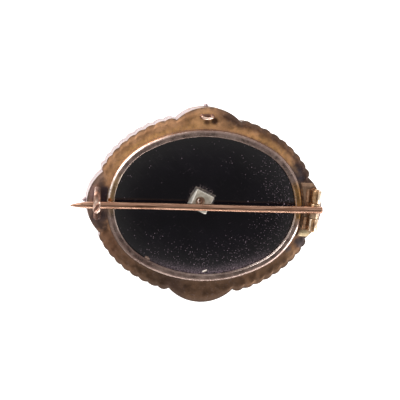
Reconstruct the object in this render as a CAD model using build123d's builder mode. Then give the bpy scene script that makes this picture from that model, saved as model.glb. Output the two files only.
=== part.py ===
from build123d import *
import math
import os

# A Victorian oval brooch that lies face down, so its back is up.
# X runs along the long axis from the catch towards the hinge, Y towards the chain eye, Z up.
# All sizes are in millimetres. The origin is under the middle of the whole box, at the rest plane.

# Oval border: the mean line of the flutes, and the flutes along it
oval_length = 38.2
oval_width = 30.9
flute_depth = 0.25
flutes_per_quarter = 9

# Lobes: the chord between each lobe's two cusps, how far it stands out past the oval, and how
# much deeper a cusp lies than the valleys between the flutes
end_lobe_span = 10.8
end_lobe_reach = 0.95
side_lobe_span = 11.15
side_lobe_reach = 1.3
cusp_notch = 0.25

# Border section: a hollow box of sheet metal, with a rounded ridge on its front
ridge_height = 0.7
ridge_width = 1.9
ridge_round = 0.45
border_depth = 3.4
sheet = 0.45
bead_radius = 0.5
bead_stand_out = 0.35

# Collar: the oval tube that holds the plaque and stands up from the back plate. The opening
# lies inside the flutes' mean line by the frame's width, and its end arcs are a share of its width
frame_end_width = 3.65
frame_side_width = 3.67
opening_end_fullness = 0.883
collar_wall = 1.2
collar_height = 0.9
plaque_recess = 0.8
plaque_thickness = 1.6
plaque_hold = 0.3
plaque_bevel = 0.15

# Front boss, post and square nut
boss_radius = 3.0
boss_height = 1.5
boss_base = 0.4
boss_rim = 0.35
boss_round = 0.95
post_radius = 0.48
post_x = -0.98
post_y = 0.85
post_stand_out = 0.12
post_crater_radius = 0.22
post_end_round = 0.12
nut_side = 3.25
nut_thickness = 1.1
nut_turn = -25.0
nut_centre_x = -0.76
nut_centre_y = 0.8
nut_bevel = 0.2
nut_dish_radius = 0.85
nut_dish_depth = 0.25

# Vent hole of the hollow border, half in the collar's wall near the catch
vent_y = 0.62
vent_inset = 0.1
vent_radius = 0.32

# Barrel hinge, set in from the end lobe's tip
hinge_inset = 1.4
hinge_y = -0.2
hinge_turn = 4.0
hinge_base_thickness = 0.5
hinge_base_length = 9.2
hinge_base_corner = 0.6
hinge_base_margin = 0.12
hinge_slot_length = 3.4
hinge_axis_height = 1.3
knuckle_radius = 0.85
outer_knuckle_length = 2.2
pin_knuckle_length = 2.5
rivet_radius = 0.35
rivet_head_radius = 0.5
rivet_head_height = 0.16
rivet_head_round = 0.14

# Pin, whose point stands out past the catch
stem_diameter = 1.25
stem_height = 2.15
stem_y = 0.1
stem_skew = 0.7
stem_tail = 1.22
tail_round = 0.3
stem_overhang = 4.85
point_length = 3.9
point_radius = 0.12
point_fullness = 0.66

# Catch, set in from the other end lobe's tip
catch_inset = 1.85
catch_lean = 7.0
catch_strip = 0.42
catch_back_width = 0.95
catch_lip_width = 1.45
catch_back_y = 3.0
catch_foot_end_y = -3.0
catch_lip_end_y = -1.6
catch_end_round = 0.65
catch_dish_radius = 0.5
catch_dish_depth = 0.14

# Eye for a safety chain: a wire loop that leans over from its two feet
eye_x = -0.35
eye_foot_inset = 1.55
eye_wire = 0.52
eye_width = 2.3
eye_reach = 1.7
eye_lean = 45.0

# Clearances
seat_gap = 0.05
stack_gap = 0.03
running_gap = 0.04
side_gap = 0.05

# Levels above the rest plane
rim_front = ridge_height
plate_back = rim_front + border_depth
plate_inside = plate_back - sheet
collar_top = plate_back + collar_height
plaque_back = collar_top - plaque_recess
plaque_front = plaque_back - plaque_thickness
nut_seat = plaque_back + stack_gap
nut_top = nut_seat + nut_thickness
hinge_axis_z = plate_back + hinge_axis_height
stem_z = plate_back + stem_height

# Plan sizes worked out from those above
half_length = oval_length / 2
half_width = oval_width / 2
opening_a = half_length - frame_end_width
opening_b = half_width - frame_side_width
opening_end_radius = opening_b * opening_end_fullness
collar_a = opening_a + collar_wall
stem_radius = stem_diameter / 2
side_lobe_tip = half_width + side_lobe_reach
end_lobe_tip = half_length + end_lobe_reach
hinge_x = end_lobe_tip - hinge_inset
catch_x = catch_inset - end_lobe_tip
skew = math.radians(stem_skew)
stem_reach = hinge_x - catch_x + stem_overhang
box_left = hinge_x - stem_reach * math.cos(skew)
box_right = end_lobe_tip + bead_stand_out
oval_x = -(box_left + box_right) / 2

# The hinge's axis runs nearly along Y
turn = math.radians(hinge_turn)
hinge_direction = Vector(math.sin(turn), math.cos(turn), 0)
hinge_middle = Vector(oval_x + hinge_x, hinge_y, hinge_axis_z)


def level(height):
    """The plane of the oval's middle, at a height above the rest plane."""
    return Plane((oval_x, 0, height))


def cross_section(x):
    """The upright plane across the brooch at x: local x is along Y and local y is up."""
    return Plane((oval_x + x, 0, 0), x_dir=(0, 1, 0), z_dir=(1, 0, 0))


def hinge_plane(along, side=1):
    """The upright plane across the hinge's axis, at a distance along it, facing along it or back."""
    return Plane(hinge_middle + hinge_direction * along, z_dir=hinge_direction * side)


def on_border(angle, grow=0.0):
    """A point of the border's oval, grown by a margin, at the ellipse's own angle."""
    x = (half_length + grow) * math.cos(angle)
    y = (half_width + grow) * math.sin(angle)
    return (x, y)


def arc_radius(half_chord, rise):
    """The radius of an arc from its half chord and its rise."""
    return (half_chord**2 + rise**2) / (2 * rise)


def oval(grow):
    """The opening's oval, drawn with four arcs and grown by a margin, as a face."""
    a = opening_a + grow
    b = opening_b + grow
    end_radius = opening_end_radius + grow
    side_radius = (a**2 + b**2 - 2 * a * end_radius) / (2 * (b - end_radius))
    # Where the end arc and the side arc meet, on the line through both centres
    joint_angle = math.atan2(side_radius - b, a - end_radius)
    joint_x = a - end_radius + end_radius * math.cos(joint_angle)
    joint_y = end_radius * math.sin(joint_angle)
    with BuildSketch() as sketch:
        with BuildLine():
            ThreePointArc((joint_x, joint_y), (0, b), (-joint_x, joint_y))
            ThreePointArc((-joint_x, joint_y), (-a, 0), (-joint_x, -joint_y))
            ThreePointArc((-joint_x, -joint_y), (0, -b), (joint_x, -joint_y))
            ThreePointArc((joint_x, -joint_y), (a, 0), (joint_x, joint_y))
        make_face()
    return sketch.sketch


# The cusps stand where the lobes' arcs meet the flutes
end_angle = math.asin(end_lobe_span / 2 / half_width)
side_angle = math.acos(side_lobe_span / 2 / half_length)
end_cusp = on_border(end_angle, -flute_depth / 2 - cusp_notch)
side_cusp = on_border(side_angle, -flute_depth / 2 - cusp_notch)
end_lobe_radius = arc_radius(end_cusp[1], end_lobe_tip - end_cusp[0])
side_lobe_radius = arc_radius(side_cusp[0], side_lobe_tip - side_cusp[1])
end_lobe_centre = end_lobe_tip - end_lobe_radius
side_lobe_centre = side_lobe_tip - side_lobe_radius


def fluted_outline():
    """The border's outline: nine flutes in each quarter and a round lobe at each end and side."""
    step = (side_angle - end_angle) / flutes_per_quarter
    valleys = [on_border(end_angle + i * step, -flute_depth / 2) for i in range(1, flutes_per_quarter)]
    feet = [end_cusp, *valleys, side_cusp]
    with BuildLine() as line:
        for i in range(flutes_per_quarter):
            crest = on_border(end_angle + (i + 0.5) * step, flute_depth / 2)
            ThreePointArc(feet[i], crest, feet[i + 1])
        end_half = math.asin(end_cusp[1] / end_lobe_radius) / 2
        side_half = math.asin(side_cusp[0] / side_lobe_radius) / 2
        end_middle = (
            end_lobe_centre + end_lobe_radius * math.cos(end_half),
            end_lobe_radius * math.sin(end_half),
        )
        side_middle = (
            side_lobe_radius * math.sin(side_half),
            side_lobe_centre + side_lobe_radius * math.cos(side_half),
        )
        ThreePointArc((end_lobe_tip, 0), end_middle, end_cusp)
        ThreePointArc(side_cusp, side_middle, (0, side_lobe_tip))
        mirror(about=Plane.YZ)
        mirror(about=Plane.XZ)
    return line.line


outline = fluted_outline()

# Catch: a strip bent into a C, whose mouth faces the lower side and whose lip is dished
catch_arm_z = stem_z + stem_radius + running_gap + catch_strip / 2
catch_foot_z = plate_back - stack_gap + catch_strip / 2
catch_bend = (catch_arm_z - catch_foot_z) / 2
catch_bend_y = catch_back_y - catch_strip / 2 - catch_bend
lean = math.radians(catch_lean)
lean_direction = (-math.sin(lean), 0, math.cos(lean))
catch_lip_x = catch_x - (catch_arm_z - plate_inside) * math.tan(lean)
with BuildPart() as catch:
    with BuildSketch(cross_section((catch_x + catch_lip_x) / 2)):
        with BuildLine():
            Line((catch_foot_end_y, catch_foot_z), (catch_bend_y, catch_foot_z))
            ThreePointArc(
                (catch_bend_y, catch_foot_z),
                (catch_bend_y + catch_bend, (catch_foot_z + catch_arm_z) / 2),
                (catch_bend_y, catch_arm_z),
            )
            Line((catch_bend_y, catch_arm_z), (catch_lip_end_y, catch_arm_z))
        trace(line_width=catch_strip)
    extrude(amount=catch_lip_width, both=True)

    # The strip's plan: narrow at its back and wide at the foot and the lip, and it leans outwards
    with BuildSketch(level(plate_inside)):
        with BuildLine():
            Polyline(
                (catch_x - catch_back_width / 2, catch_back_y),
                (catch_x - catch_lip_width / 2, catch_lip_end_y),
                (catch_x - catch_lip_width / 2, catch_foot_end_y),
                (catch_x + catch_lip_width / 2, catch_foot_end_y),
                (catch_x + catch_lip_width / 2, catch_lip_end_y),
                (catch_x + catch_back_width / 2, catch_back_y),
                close=True,
            )
        make_face()
    extrude(amount=catch_arm_z, dir=lean_direction, mode=Mode.INTERSECT)

    # The ends of the foot and of the lip are round in plan
    leaning = Axis((0, 0, 0), lean_direction)
    fillet(catch.edges().filter_by(leaning).group_by(Axis.Y)[0], catch_end_round)
    fillet(catch.edges().filter_by(leaning).group_by(Axis.Z)[-1], catch_end_round)
    dish_ball = arc_radius(catch_dish_radius, catch_dish_depth)
    dish_z = catch_arm_z + catch_strip / 2 + dish_ball - catch_dish_depth
    with Locations((oval_x + catch_lip_x, catch_lip_end_y + catch_lip_width / 2, dish_z)):
        Sphere(dish_ball, mode=Mode.SUBTRACT)

# Frame: border, back plate, collar, catch, hinge base, outer knuckles and chain eye, soldered
with BuildPart() as frame:
    # The fluted border as a full slab, which the opening and the hollow then cut
    with BuildSketch(level(rim_front)):
        add(outline)
        make_face()
    extrude(amount=border_depth)

    # The rounded ridge on the front, on which the brooch lies
    with BuildSketch(level(rim_front)):
        add(oval(ridge_width))
        add(oval(0), mode=Mode.SUBTRACT)
    extrude(amount=-ridge_height)
    fillet(frame.faces().sort_by(Axis.Z)[0].edges(), ridge_round)

    # The collar on the back
    with BuildSketch(level(plate_back)):
        add(oval(collar_wall))
    extrude(amount=collar_height)

    # The opening right through, and the groove that traps the plaque's edge
    with BuildSketch(level(rim_front)):
        add(oval(0))
    extrude(amount=border_depth + collar_height, mode=Mode.SUBTRACT)
    with BuildSketch(level(plaque_front - seat_gap)):
        add(oval(plaque_hold + seat_gap))
    extrude(amount=plaque_thickness + 2 * seat_gap, mode=Mode.SUBTRACT)

    # The hollow inside the border, between the collar and the outer wall
    with BuildSketch(level(rim_front + sheet)):
        Ellipse(half_length - flute_depth - sheet, half_width - flute_depth - sheet)
        with Locations((end_lobe_centre, 0), (-end_lobe_centre, 0)):
            Circle(end_lobe_radius - sheet)
        with Locations((0, side_lobe_centre), (0, -side_lobe_centre)):
            Circle(side_lobe_radius - sheet)
        add(oval(collar_wall), mode=Mode.SUBTRACT)
    extrude(amount=border_depth - 2 * sheet, mode=Mode.SUBTRACT)

    # The vent hole at the foot of the collar, which lets the hollow breathe
    with BuildSketch(level(collar_top)):
        with Locations((-(collar_a - vent_inset), vent_y)):
            Circle(vent_radius)
    extrude(amount=-(collar_height + 2 * sheet), mode=Mode.SUBTRACT)

    # A bead at the tip of each lobe, low on the wall
    bead_z = rim_front + bead_radius
    end_bead = end_lobe_tip + bead_stand_out - bead_radius
    side_bead = side_lobe_tip + bead_stand_out - bead_radius
    with Locations((oval_x + end_bead, 0, bead_z), (oval_x - end_bead, 0, bead_z)):
        Sphere(bead_radius)
    with Locations((oval_x, side_bead, bead_z), (oval_x, -side_bead, bead_z)):
        Sphere(bead_radius)

    # The hinge's base: a thin plate between the collar and the lobe's edge, slotted for the pin
    slot_back = knuckle_radius + side_gap
    with BuildSketch(level(plate_back)) as hinge_base:
        with Locations((hinge_x, hinge_y)):
            Rectangle(hinge_base_length, hinge_base_length)
        with Locations((end_lobe_centre, 0)):
            Circle(end_lobe_radius - hinge_base_margin, mode=Mode.INTERSECT)
        add(oval(collar_wall + hinge_base_margin), mode=Mode.SUBTRACT)
        fillet(hinge_base.vertices().group_by(Axis.Y)[0], hinge_base_corner)
        fillet(hinge_base.vertices().group_by(Axis.Y)[-1], hinge_base_corner)
        with Locations((hinge_x - slot_back * math.cos(turn), hinge_y + slot_back * math.sin(turn))):
            Rectangle(
                hinge_slot_length,
                pin_knuckle_length + 2 * side_gap,
                rotation=-hinge_turn,
                align=(Align.MIN, Align.CENTER),
                mode=Mode.SUBTRACT,
            )
    extrude(amount=hinge_base_thickness)

    # The two outer knuckles with the rivet's bore
    knuckle_start = pin_knuckle_length / 2 + side_gap
    for side in (1, -1):
        with BuildSketch(hinge_plane(side * knuckle_start, side)):
            Circle(knuckle_radius)
        extrude(amount=outer_knuckle_length)
        with BuildSketch(hinge_plane(side * knuckle_start, side)):
            Circle(rivet_radius + stack_gap)
        extrude(amount=outer_knuckle_length, mode=Mode.SUBTRACT)

    # The catch
    add(catch.part)

    # The eye for a safety chain: a wire loop whose feet are soldered into the plate
    eye_bend = (eye_width - eye_wire) / 2
    eye_leg = eye_reach - eye_wire / 2 - eye_bend
    eye_root = Vector(oval_x + eye_x, side_lobe_tip - eye_foot_inset, plate_back)
    eye_up = Vector(0, -math.cos(math.radians(eye_lean)), math.sin(math.radians(eye_lean)))
    eye_plane = Plane(eye_root, x_dir=(1, 0, 0), z_dir=Vector(1, 0, 0).cross(eye_up))
    with BuildLine(eye_plane) as eye_path:
        Line((-eye_bend, -sheet / 2), (-eye_bend, eye_leg))
        ThreePointArc((-eye_bend, eye_leg), (0, eye_leg + eye_bend), (eye_bend, eye_leg))
        Line((eye_bend, eye_leg), (eye_bend, -sheet / 2))
    with BuildSketch(Plane(eye_plane.from_local_coords((-eye_bend, -sheet / 2, 0)), z_dir=eye_up)):
        Circle(eye_wire / 2)
    sweep(path=eye_path.line)
frame.part.label = "frame"

# Plaque: a flat oval slab with bevelled edges, drilled for the post
with BuildPart() as plaque:
    with BuildSketch(level(plaque_front)):
        add(oval(plaque_hold))
    extrude(amount=plaque_thickness)
    chamfer(plaque.edges().filter_by(Plane.XY), plaque_bevel)
    with BuildSketch(level(plaque_front)):
        with Locations((post_x, post_y)):
            Circle(post_radius + seat_gap)
    extrude(amount=plaque_thickness, mode=Mode.SUBTRACT)
plaque.part.label = "enamel_plaque"

# Post: a plain domed boss on the front, and its post through the plaque to the nut
boss_seat = plaque_front - stack_gap
post_top = nut_top + post_stand_out - nut_dish_depth
with BuildPart() as post:
    with BuildSketch(level(boss_seat)):
        Circle(boss_radius)
    extrude(amount=-boss_base)
    with BuildSketch(level(boss_seat - boss_base)):
        Circle(boss_radius - boss_rim)
    extrude(amount=-(boss_height - boss_base))
    fillet(post.faces().sort_by(Axis.Z)[0].edges(), boss_round)
    with BuildSketch(level(boss_seat)):
        with Locations((post_x, post_y)):
            Circle(post_radius)
    extrude(amount=post_top - boss_seat)
    fillet(post.faces().sort_by(Axis.Z)[-1].edges(), post_end_round)
    with Locations((oval_x + post_x, post_y, post_top)):
        Sphere(post_crater_radius, mode=Mode.SUBTRACT)
post.part.label = "centre_post"

# Nut: a hand-cut square nut, bevelled on top and dished round the post
with BuildPart() as nut:
    with BuildSketch(level(nut_seat)):
        with Locations((nut_centre_x, nut_centre_y)):
            Rectangle(nut_side, nut_side, rotation=nut_turn)
    extrude(amount=nut_thickness)
    chamfer(nut.faces().sort_by(Axis.Z)[-1].edges(), nut_bevel)
    with BuildSketch(level(nut_seat)):
        with Locations((post_x, post_y)):
            Circle(post_radius + stack_gap)
    extrude(amount=nut_thickness, mode=Mode.SUBTRACT)
    nut_ball = arc_radius(nut_dish_radius, nut_dish_depth)
    with Locations((oval_x + post_x, post_y, nut_top + nut_ball - nut_dish_depth)):
        Sphere(nut_ball, mode=Mode.SUBTRACT)
nut.part.label = "square_nut"

# Pin: a straight stem with a long point, on top of the knuckle that turns
stem_root = Vector(oval_x + hinge_x, stem_y, stem_z)
stem_direction = Vector(-math.cos(skew), -math.sin(skew), 0)
stem_plane = Plane(stem_root, x_dir=stem_direction, z_dir=stem_direction.cross(Vector(0, 0, 1)))
point_start = stem_reach - point_length
tail_side = stem_radius - tail_round
with BuildPart() as pin:
    with BuildSketch(stem_plane):
        with BuildLine():
            Line((-stem_tail, 0), (stem_reach, 0))
            Line((-stem_tail, 0), (-stem_tail, tail_side))
            RadiusArc((-stem_tail, tail_side), (-stem_tail + tail_round, stem_radius), tail_round)
            Line((-stem_tail + tail_round, stem_radius), (point_start, stem_radius))
            ThreePointArc(
                (point_start, stem_radius),
                (point_start + point_length / 2, stem_radius * point_fullness),
                (stem_reach - point_radius, point_radius),
            )
            RadiusArc((stem_reach - point_radius, point_radius), (stem_reach, 0), point_radius)
        make_face()
    revolve(axis=Axis(stem_root, stem_direction))
    with BuildSketch(hinge_plane(0)):
        Circle(knuckle_radius)
    extrude(amount=pin_knuckle_length / 2, both=True)
    with BuildSketch(hinge_plane(0)):
        Circle(rivet_radius + running_gap)
    extrude(amount=pin_knuckle_length, both=True, mode=Mode.SUBTRACT)
pin.part.label = "brooch_pin"

# Rivet: the axle through the three knuckles, with a domed head at each end
rivet_half = knuckle_start + outer_knuckle_length + stack_gap
rivet_axis = Axis(hinge_middle, hinge_direction)
with BuildPart() as rivet:
    with BuildSketch(hinge_plane(0)):
        Circle(rivet_radius)
    extrude(amount=rivet_half, both=True)
    for side in (1, -1):
        with BuildSketch(hinge_plane(side * rivet_half, side)):
            Circle(rivet_head_radius)
        extrude(amount=rivet_head_height)
    fillet(rivet.edges().group_by(rivet_axis)[0], rivet_head_round)
    fillet(rivet.edges().group_by(rivet_axis)[-1], rivet_head_round)
rivet.part.label = "hinge_rivet"

os.makedirs("parts", exist_ok=True)
for piece in (frame, plaque, post, nut, pin, rivet):
    export_step(piece.part, f"parts/{piece.part.label}.step")
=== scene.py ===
"""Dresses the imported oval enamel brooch: worn old gold, black enamel, a hand-cut nut and a pin.

The brooch lies on its front, so the camera sees its back. Sizes are in millimetres from the
middle of the oval, with the height from the rest plane, until a piece is finished: then its mesh
is put in metres at the oval's place in the model.
"""

import logging
import math
from collections.abc import Iterable, Sequence
from dataclasses import dataclass, field
from enum import Enum

import bmesh
import bpy
from bmesh.types import BMEdge, BMesh, BMFace, BMVert
from bpy.types import Material, NodeSocket, NodeTree
from mathutils import Matrix, Vector, noise

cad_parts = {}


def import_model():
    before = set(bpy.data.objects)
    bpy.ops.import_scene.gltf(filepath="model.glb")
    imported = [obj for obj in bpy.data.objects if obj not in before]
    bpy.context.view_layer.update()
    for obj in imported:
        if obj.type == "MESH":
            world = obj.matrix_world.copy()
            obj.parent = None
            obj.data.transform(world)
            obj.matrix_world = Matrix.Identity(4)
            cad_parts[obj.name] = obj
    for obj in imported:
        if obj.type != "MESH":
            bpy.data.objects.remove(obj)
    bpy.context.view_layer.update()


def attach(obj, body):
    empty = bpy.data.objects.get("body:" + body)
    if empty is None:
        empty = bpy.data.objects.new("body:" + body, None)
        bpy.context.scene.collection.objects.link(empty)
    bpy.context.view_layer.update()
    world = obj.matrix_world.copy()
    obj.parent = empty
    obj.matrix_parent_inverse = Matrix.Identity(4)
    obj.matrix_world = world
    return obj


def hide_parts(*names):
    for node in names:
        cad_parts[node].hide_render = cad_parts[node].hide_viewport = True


LOG = logging.getLogger("brooch")

MM = 0.001
# Where the oval's middle lies in the model, and how high the plate's back is, in millimetres
OVAL_X = 1.3234
PLATE_BACK = 4.1
Z_AXIS = Vector((0, 0, 1))
# Points nearer than this are one: in a finished piece, and where the arcs of an outline meet
MERGE = 1e-4
SEAM = 0.004
# A wear_and_highlight mark of this much stays bright where the noise that breaks it up is faint: a painted
# highlight all over
BRIGHT_ALL_OVER = 3.0
# A Mix node's sockets: how much of the upper colour shows, the lower, the upper, and the output
MIX_FACTOR, MIX_LOWER, MIX_UPPER, MIX_RESULT = 0, 6, 7, 2
SMOOTH = {"interpolation_type": "SMOOTHSTEP"}
# Noises that several surfaces have: broken clouds, small specks or streaks, and thin lines
BROKEN = {"detail": 5.0, "roughness": 0.6}
SMALL = {"detail": 3.0, "roughness": 0.5}
THIN = {"detail": 2.0, "roughness": 0.5}
# What the lamps face: about the middle of the brooch's height, in metres
AIM = Vector((0, 0, 0.004))


class Body(Enum):
    """The two bodies of the model."""

    BROOCH = "brooch"
    PIN = "pin"


class Slot(Enum):
    """The record's material slots."""

    OLD_GOLD = "old_gold"
    HINGE_GOLD = "hinge_gold"
    ROSE_GOLD = "rose_gold"
    WHITE_METAL = "white_metal"
    BLACK_ENAMEL = "black_enamel"


# Colour and node helpers


def linear(hex_colour: str) -> tuple[float, float, float, float]:
    """Turns an sRGB hex colour to linear values.

    Args:
        hex_colour: Six hex digits.

    Returns:
        Linear red, green, blue and an alpha of 1.
    """
    parts = [int(hex_colour[i : i + 2], 16) / 255 for i in (0, 2, 4)]
    values = [p / 12.92 if p <= 0.04045 else ((p + 0.055) / 1.055) ** 2.4 for p in parts]
    return (values[0], values[1], values[2], 1.0)


def add_node(
    tree: NodeTree, kind: str, inputs: Sequence | dict = (), output: int | str = 0, **settings: object
) -> NodeSocket | None:
    """Adds a node with its settings, values and links.

    Args:
        tree: The node tree.
        kind: The node's type name, without the ShaderNode that all begin with.
        inputs: What its sockets get, in their order or by name or number: a value, a hex colour
            or the output socket that feeds it.
        output: The name or number of the output that is wanted.
        settings: The node's own properties.

    Returns:
        That output, or None for a node without outputs.
    """
    node = tree.nodes.new("ShaderNode" + kind)
    for name, value in settings.items():
        setattr(node, name, value)
    for key, value in inputs.items() if isinstance(inputs, dict) else enumerate(inputs):
        if isinstance(value, NodeSocket):
            tree.links.new(value, node.inputs[key])
        else:
            node.inputs[key].default_value = linear(value) if isinstance(value, str) else value
    return node.outputs[output] if len(node.outputs) else None


@dataclass(frozen=True)
class StainAndLight:
    """A patch of tarnishing, dirt, worn metal, painted shade or painted light on a surface.

    Args:
        x: Place along the brooch, in millimetres from the oval's middle.
        y: Place across the brooch, in millimetres.
        z: Height above the rest plane, in millimetres.
        radius: How far the patch reaches, in millimetres.
        colour: Its sRGB colour.
        strength: How much it covers, from 0 to 1.
        ragged: How much noise breaks its edge, in millimetres.
        core: The share of the radius that is fully covered.
    """

    x: float
    y: float
    z: float
    radius: float
    colour: str
    strength: float
    ragged: float
    core: float


@dataclass(frozen=True)
class Dust:
    """Grains of dust, one at most in each cell of a pattern.

    Args:
        spacing: The cells' size, in millimetres.
        share: The share of cells that hold a grain where dust lies thickest.
        size: A grain's radius as a share of a cell.
        strength: How much a grain covers.
    """

    spacing: float
    share: float
    size: float
    strength: float


class Shader:
    """A material being made: its tree, its object coordinates and the patterns on them."""

    def __init__(self, name: str) -> None:
        """Starts an empty material with that name."""
        self.material = bpy.data.materials.new(name)
        self.material.use_nodes = True
        self.tree = self.material.node_tree
        self.tree.nodes.clear()
        self.coords = self.add("TexCoord", output="Object")
        self.ragged: NodeSocket | None = None

    def add(
        self, kind: str, inputs: Sequence | dict = (), output: int | str = 0, **settings: object
    ) -> NodeSocket:
        """Adds a node to this material and gives its output."""
        return add_node(self.tree, kind, inputs, output, **settings)

    def grain(
        self, size: float, detail: float = 4.0, roughness: float = 0.55,
        stretch: Sequence[float] = (1, 1, 1), turn: float = 0.0,
    ) -> NodeSocket:
        """Cloudy noise of a real size.

        Args:
            size: The size of its patches, in millimetres.
            detail: How many finer layers it has.
            roughness: How strong the finer layers are.
            stretch: How many times longer the patches are along each axis.
            turn: Turn about the vertical, in degrees.

        Returns:
            The noise, about 0.5 on average.
        """
        vector = self.coords
        if turn or tuple(stretch) != (1, 1, 1):
            inputs = {"Vector": vector, "Scale": tuple(stretch), "Rotation": (0.0, 0.0, math.radians(turn))}
            vector = self.add("Mapping", inputs, vector_type="TEXTURE")
        inputs = {"Vector": vector, "Scale": 1 / (size * MM), "Detail": detail, "Roughness": roughness}
        return self.add("TexNoise", inputs, "Fac")

    def clouds(
        self, size: float, low: float, high: float, to: tuple[float, float] = (0.0, 1.0), **grain: object
    ) -> NodeSocket:
        """Patches of noise, smoothly cut off at two levels.

        Args:
            size: The size of the patches, in millimetres.
            low: The level that becomes the first value of to.
            high: The level that becomes the second.
            to: What the two levels become.
            grain: The noise's detail, roughness, stretch and turn.

        Returns:
            The patches.
        """
        return self.add("MapRange", (self.grain(size, **grain), low, high, *to), **SMOOTH)

    def chained(self, operation: str, *values: object) -> NodeSocket:
        """Joins values one after another by the same arithmetic."""
        total = values[0]
        for value in values[1:]:
            total = self.add("Math", (total, value), operation=operation)
        return total

    def coats(self, base: str | NodeSocket, *coats: tuple[object, str]) -> NodeSocket:
        """Lays coats of colour over each other.

        Args:
            base: The lowest colour.
            coats: For each coat the mask of where it shows, and its colour.

        Returns:
            The mixed colour.
        """
        for mask, colour in coats:
            inputs = {MIX_FACTOR: mask, MIX_LOWER: base, MIX_UPPER: colour}
            base = self.add("Mix", inputs, MIX_RESULT, data_type="RGBA", clamp_factor=True)
        return base

    def patch(self, spot: StainAndLight) -> NodeSocket:
        """The mask of a patch of colour, broken up by noise at its edge."""
        if self.ragged is None:
            self.ragged = self.add("Math", (self.grain(1.3, 6.0, 0.6), 0.5), operation="SUBTRACT")
        centre = ((spot.x + OVAL_X) * MM, spot.y * MM, spot.z * MM)
        away = self.add("VectorMath", (self.coords, centre), "Value", operation="DISTANCE")
        broken = self.add("Math", (self.ragged, spot.ragged * 2 * MM, away), operation="MULTIPLY_ADD")
        reach = spot.radius * MM
        return self.add("MapRange", (broken, reach, reach * spot.core, 0.0, spot.strength), **SMOOTH)

    def marked(self, name: str, strength: object = 1.0) -> NodeSocket:
        """A value kept on the mesh, such as worn edges with their painted highlights, times a strength."""
        value = self.add("Attribute", output="Fac", attribute_name=name, attribute_type="GEOMETRY")
        return self.add("Math", (value, strength), operation="MULTIPLY")

    def finish(self, surface: dict, heights: Sequence[tuple[NodeSocket, float, float]] = ()) -> Material:
        """Joins the surface shader and its bumps to the output.

        Args:
            surface: The Principled shader's inputs.
            heights: Bump patterns, each with its strength and its height in millimetres.

        Returns:
            The finished material.
        """
        for height, strength, depth in heights:
            inputs = {"Height": height, "Strength": strength, "Distance": depth * MM}
            if "Normal" in surface:
                inputs["Normal"] = surface["Normal"]
            surface = {**surface, "Normal": self.add("Bump", inputs, "Normal")}
        self.add("OutputMaterial", {"Surface": self.add("BsdfPrincipled", surface)})
        return self.material


# Finishes


@dataclass(frozen=True)
class WornGold:
    """Old gold that was polished once and has dulled in handling: satin, clouded and finely scratched.

    Args:
        name: The finish's name.
        clean: Colour where it is worn bright, and of the painted highlights.
        dull: Colour of most of the surface.
        dark: Colour of the darker clouds.
        grime_and_shade: Colour of the dirt, and of the painted shade in corners.
        smooth: Roughness where it is bright.
        rough: Roughness where it is dull.
        cloud: Size of the clouds of darker tarnishing, in millimetres.
        stains_and_light: Patches with a place of their own: tarnishing and dirt, painted shade and painted
            light.
        warm: Colour of the painted gold sheen beside the collar.
        tarnish_and_shade: Colour of the darker flutes and wall: tarnishing and painted shade.
    """

    name: str
    clean: str
    dull: str
    dark: str
    grime_and_shade: str
    smooth: float
    rough: float
    cloud: float
    stains_and_light: tuple[StainAndLight, ...] = ()
    warm: str = "ffc480"
    tarnish_and_shade: str = "4a3630"

    def material(self) -> Material:
        """Builds the node material."""
        s = Shader(self.name)
        # Masks kept on the mesh: darker flutes and wall from tarnishing and painted shade, a painted gold
        # sheen beside the collar, dirt with painted shade in corners, and worn edges with painted highlights
        flutes = s.marked("tarnish_and_shade", s.clouds(0.9, 0.30, 0.60, (0.7, 1.0), **BROKEN))
        golden_sheen = s.marked("golden_sheen", s.clouds(0.6, 0.30, 0.60, (0.3, 1.0), **BROKEN))
        corner = s.marked("grime_and_shade", s.clouds(0.7, 0.30, 0.55, (0.45, 1.0)))
        rubbed_and_lit = s.marked("wear_and_highlight", s.clouds(0.9, 0.32, 0.60, (0.25, 1.0)))
        rubbed_and_lit = s.add("Math", (rubbed_and_lit, 1.0), operation="MINIMUM")
        colour = s.coats(
            self.dull,
            (s.clouds(self.cloud, 0.36, 0.68, detail=6.0, roughness=0.6), self.dark),
            *[(s.patch(spot), spot.colour) for spot in self.stains_and_light],
            (flutes, self.tarnish_and_shade),
            (golden_sheen, self.warm),
            (s.clouds(0.75, 0.42, 0.70, (0.0, 0.30), detail=5.0, roughness=0.65), self.grime_and_shade),
            (s.clouds(0.28, 0.55, 0.74, (0.0, 0.22), **SMALL), self.clean),
            (corner, self.grime_and_shade),
            (rubbed_and_lit, self.clean),
        )
        # Rubbed edges are smoother than the dull surface, and dirt is rougher
        rough = s.clouds(1.3, 0.35, 0.65, (self.smooth, self.rough), **BROKEN)
        rough = s.add("Math", (rubbed_and_lit, -0.08, rough), operation="MULTIPLY_ADD")
        rough = s.add("Math", (corner, 0.25, rough), operation="MULTIPLY_ADD")
        # Dirt and painted shade are not metal, so they stay dark where bare gold would mirror the table
        metallic = s.add("Math", (corner, -0.9, 1.0), operation="MULTIPLY_ADD")
        # Scratches of about 0.03 mm are drawn 0.1 mm wide, as finer ones would not show
        scratches = s.chained(
            "MAXIMUM",
            s.clouds(0.10, 0.60, 0.68, stretch=(28, 1, 4), turn=24.0, **THIN),
            s.clouds(0.12, 0.61, 0.69, stretch=(22, 1, 4), turn=-52.0, **THIN),
        )
        return s.finish(
            {"Base Color": colour, "Metallic": metallic, "Roughness": rough},
            [(s.grain(1.6), 0.16, 0.10), (s.grain(0.25, 3.0), 0.16, 0.02), (scratches, 0.10, 0.02)],
        )


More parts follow.
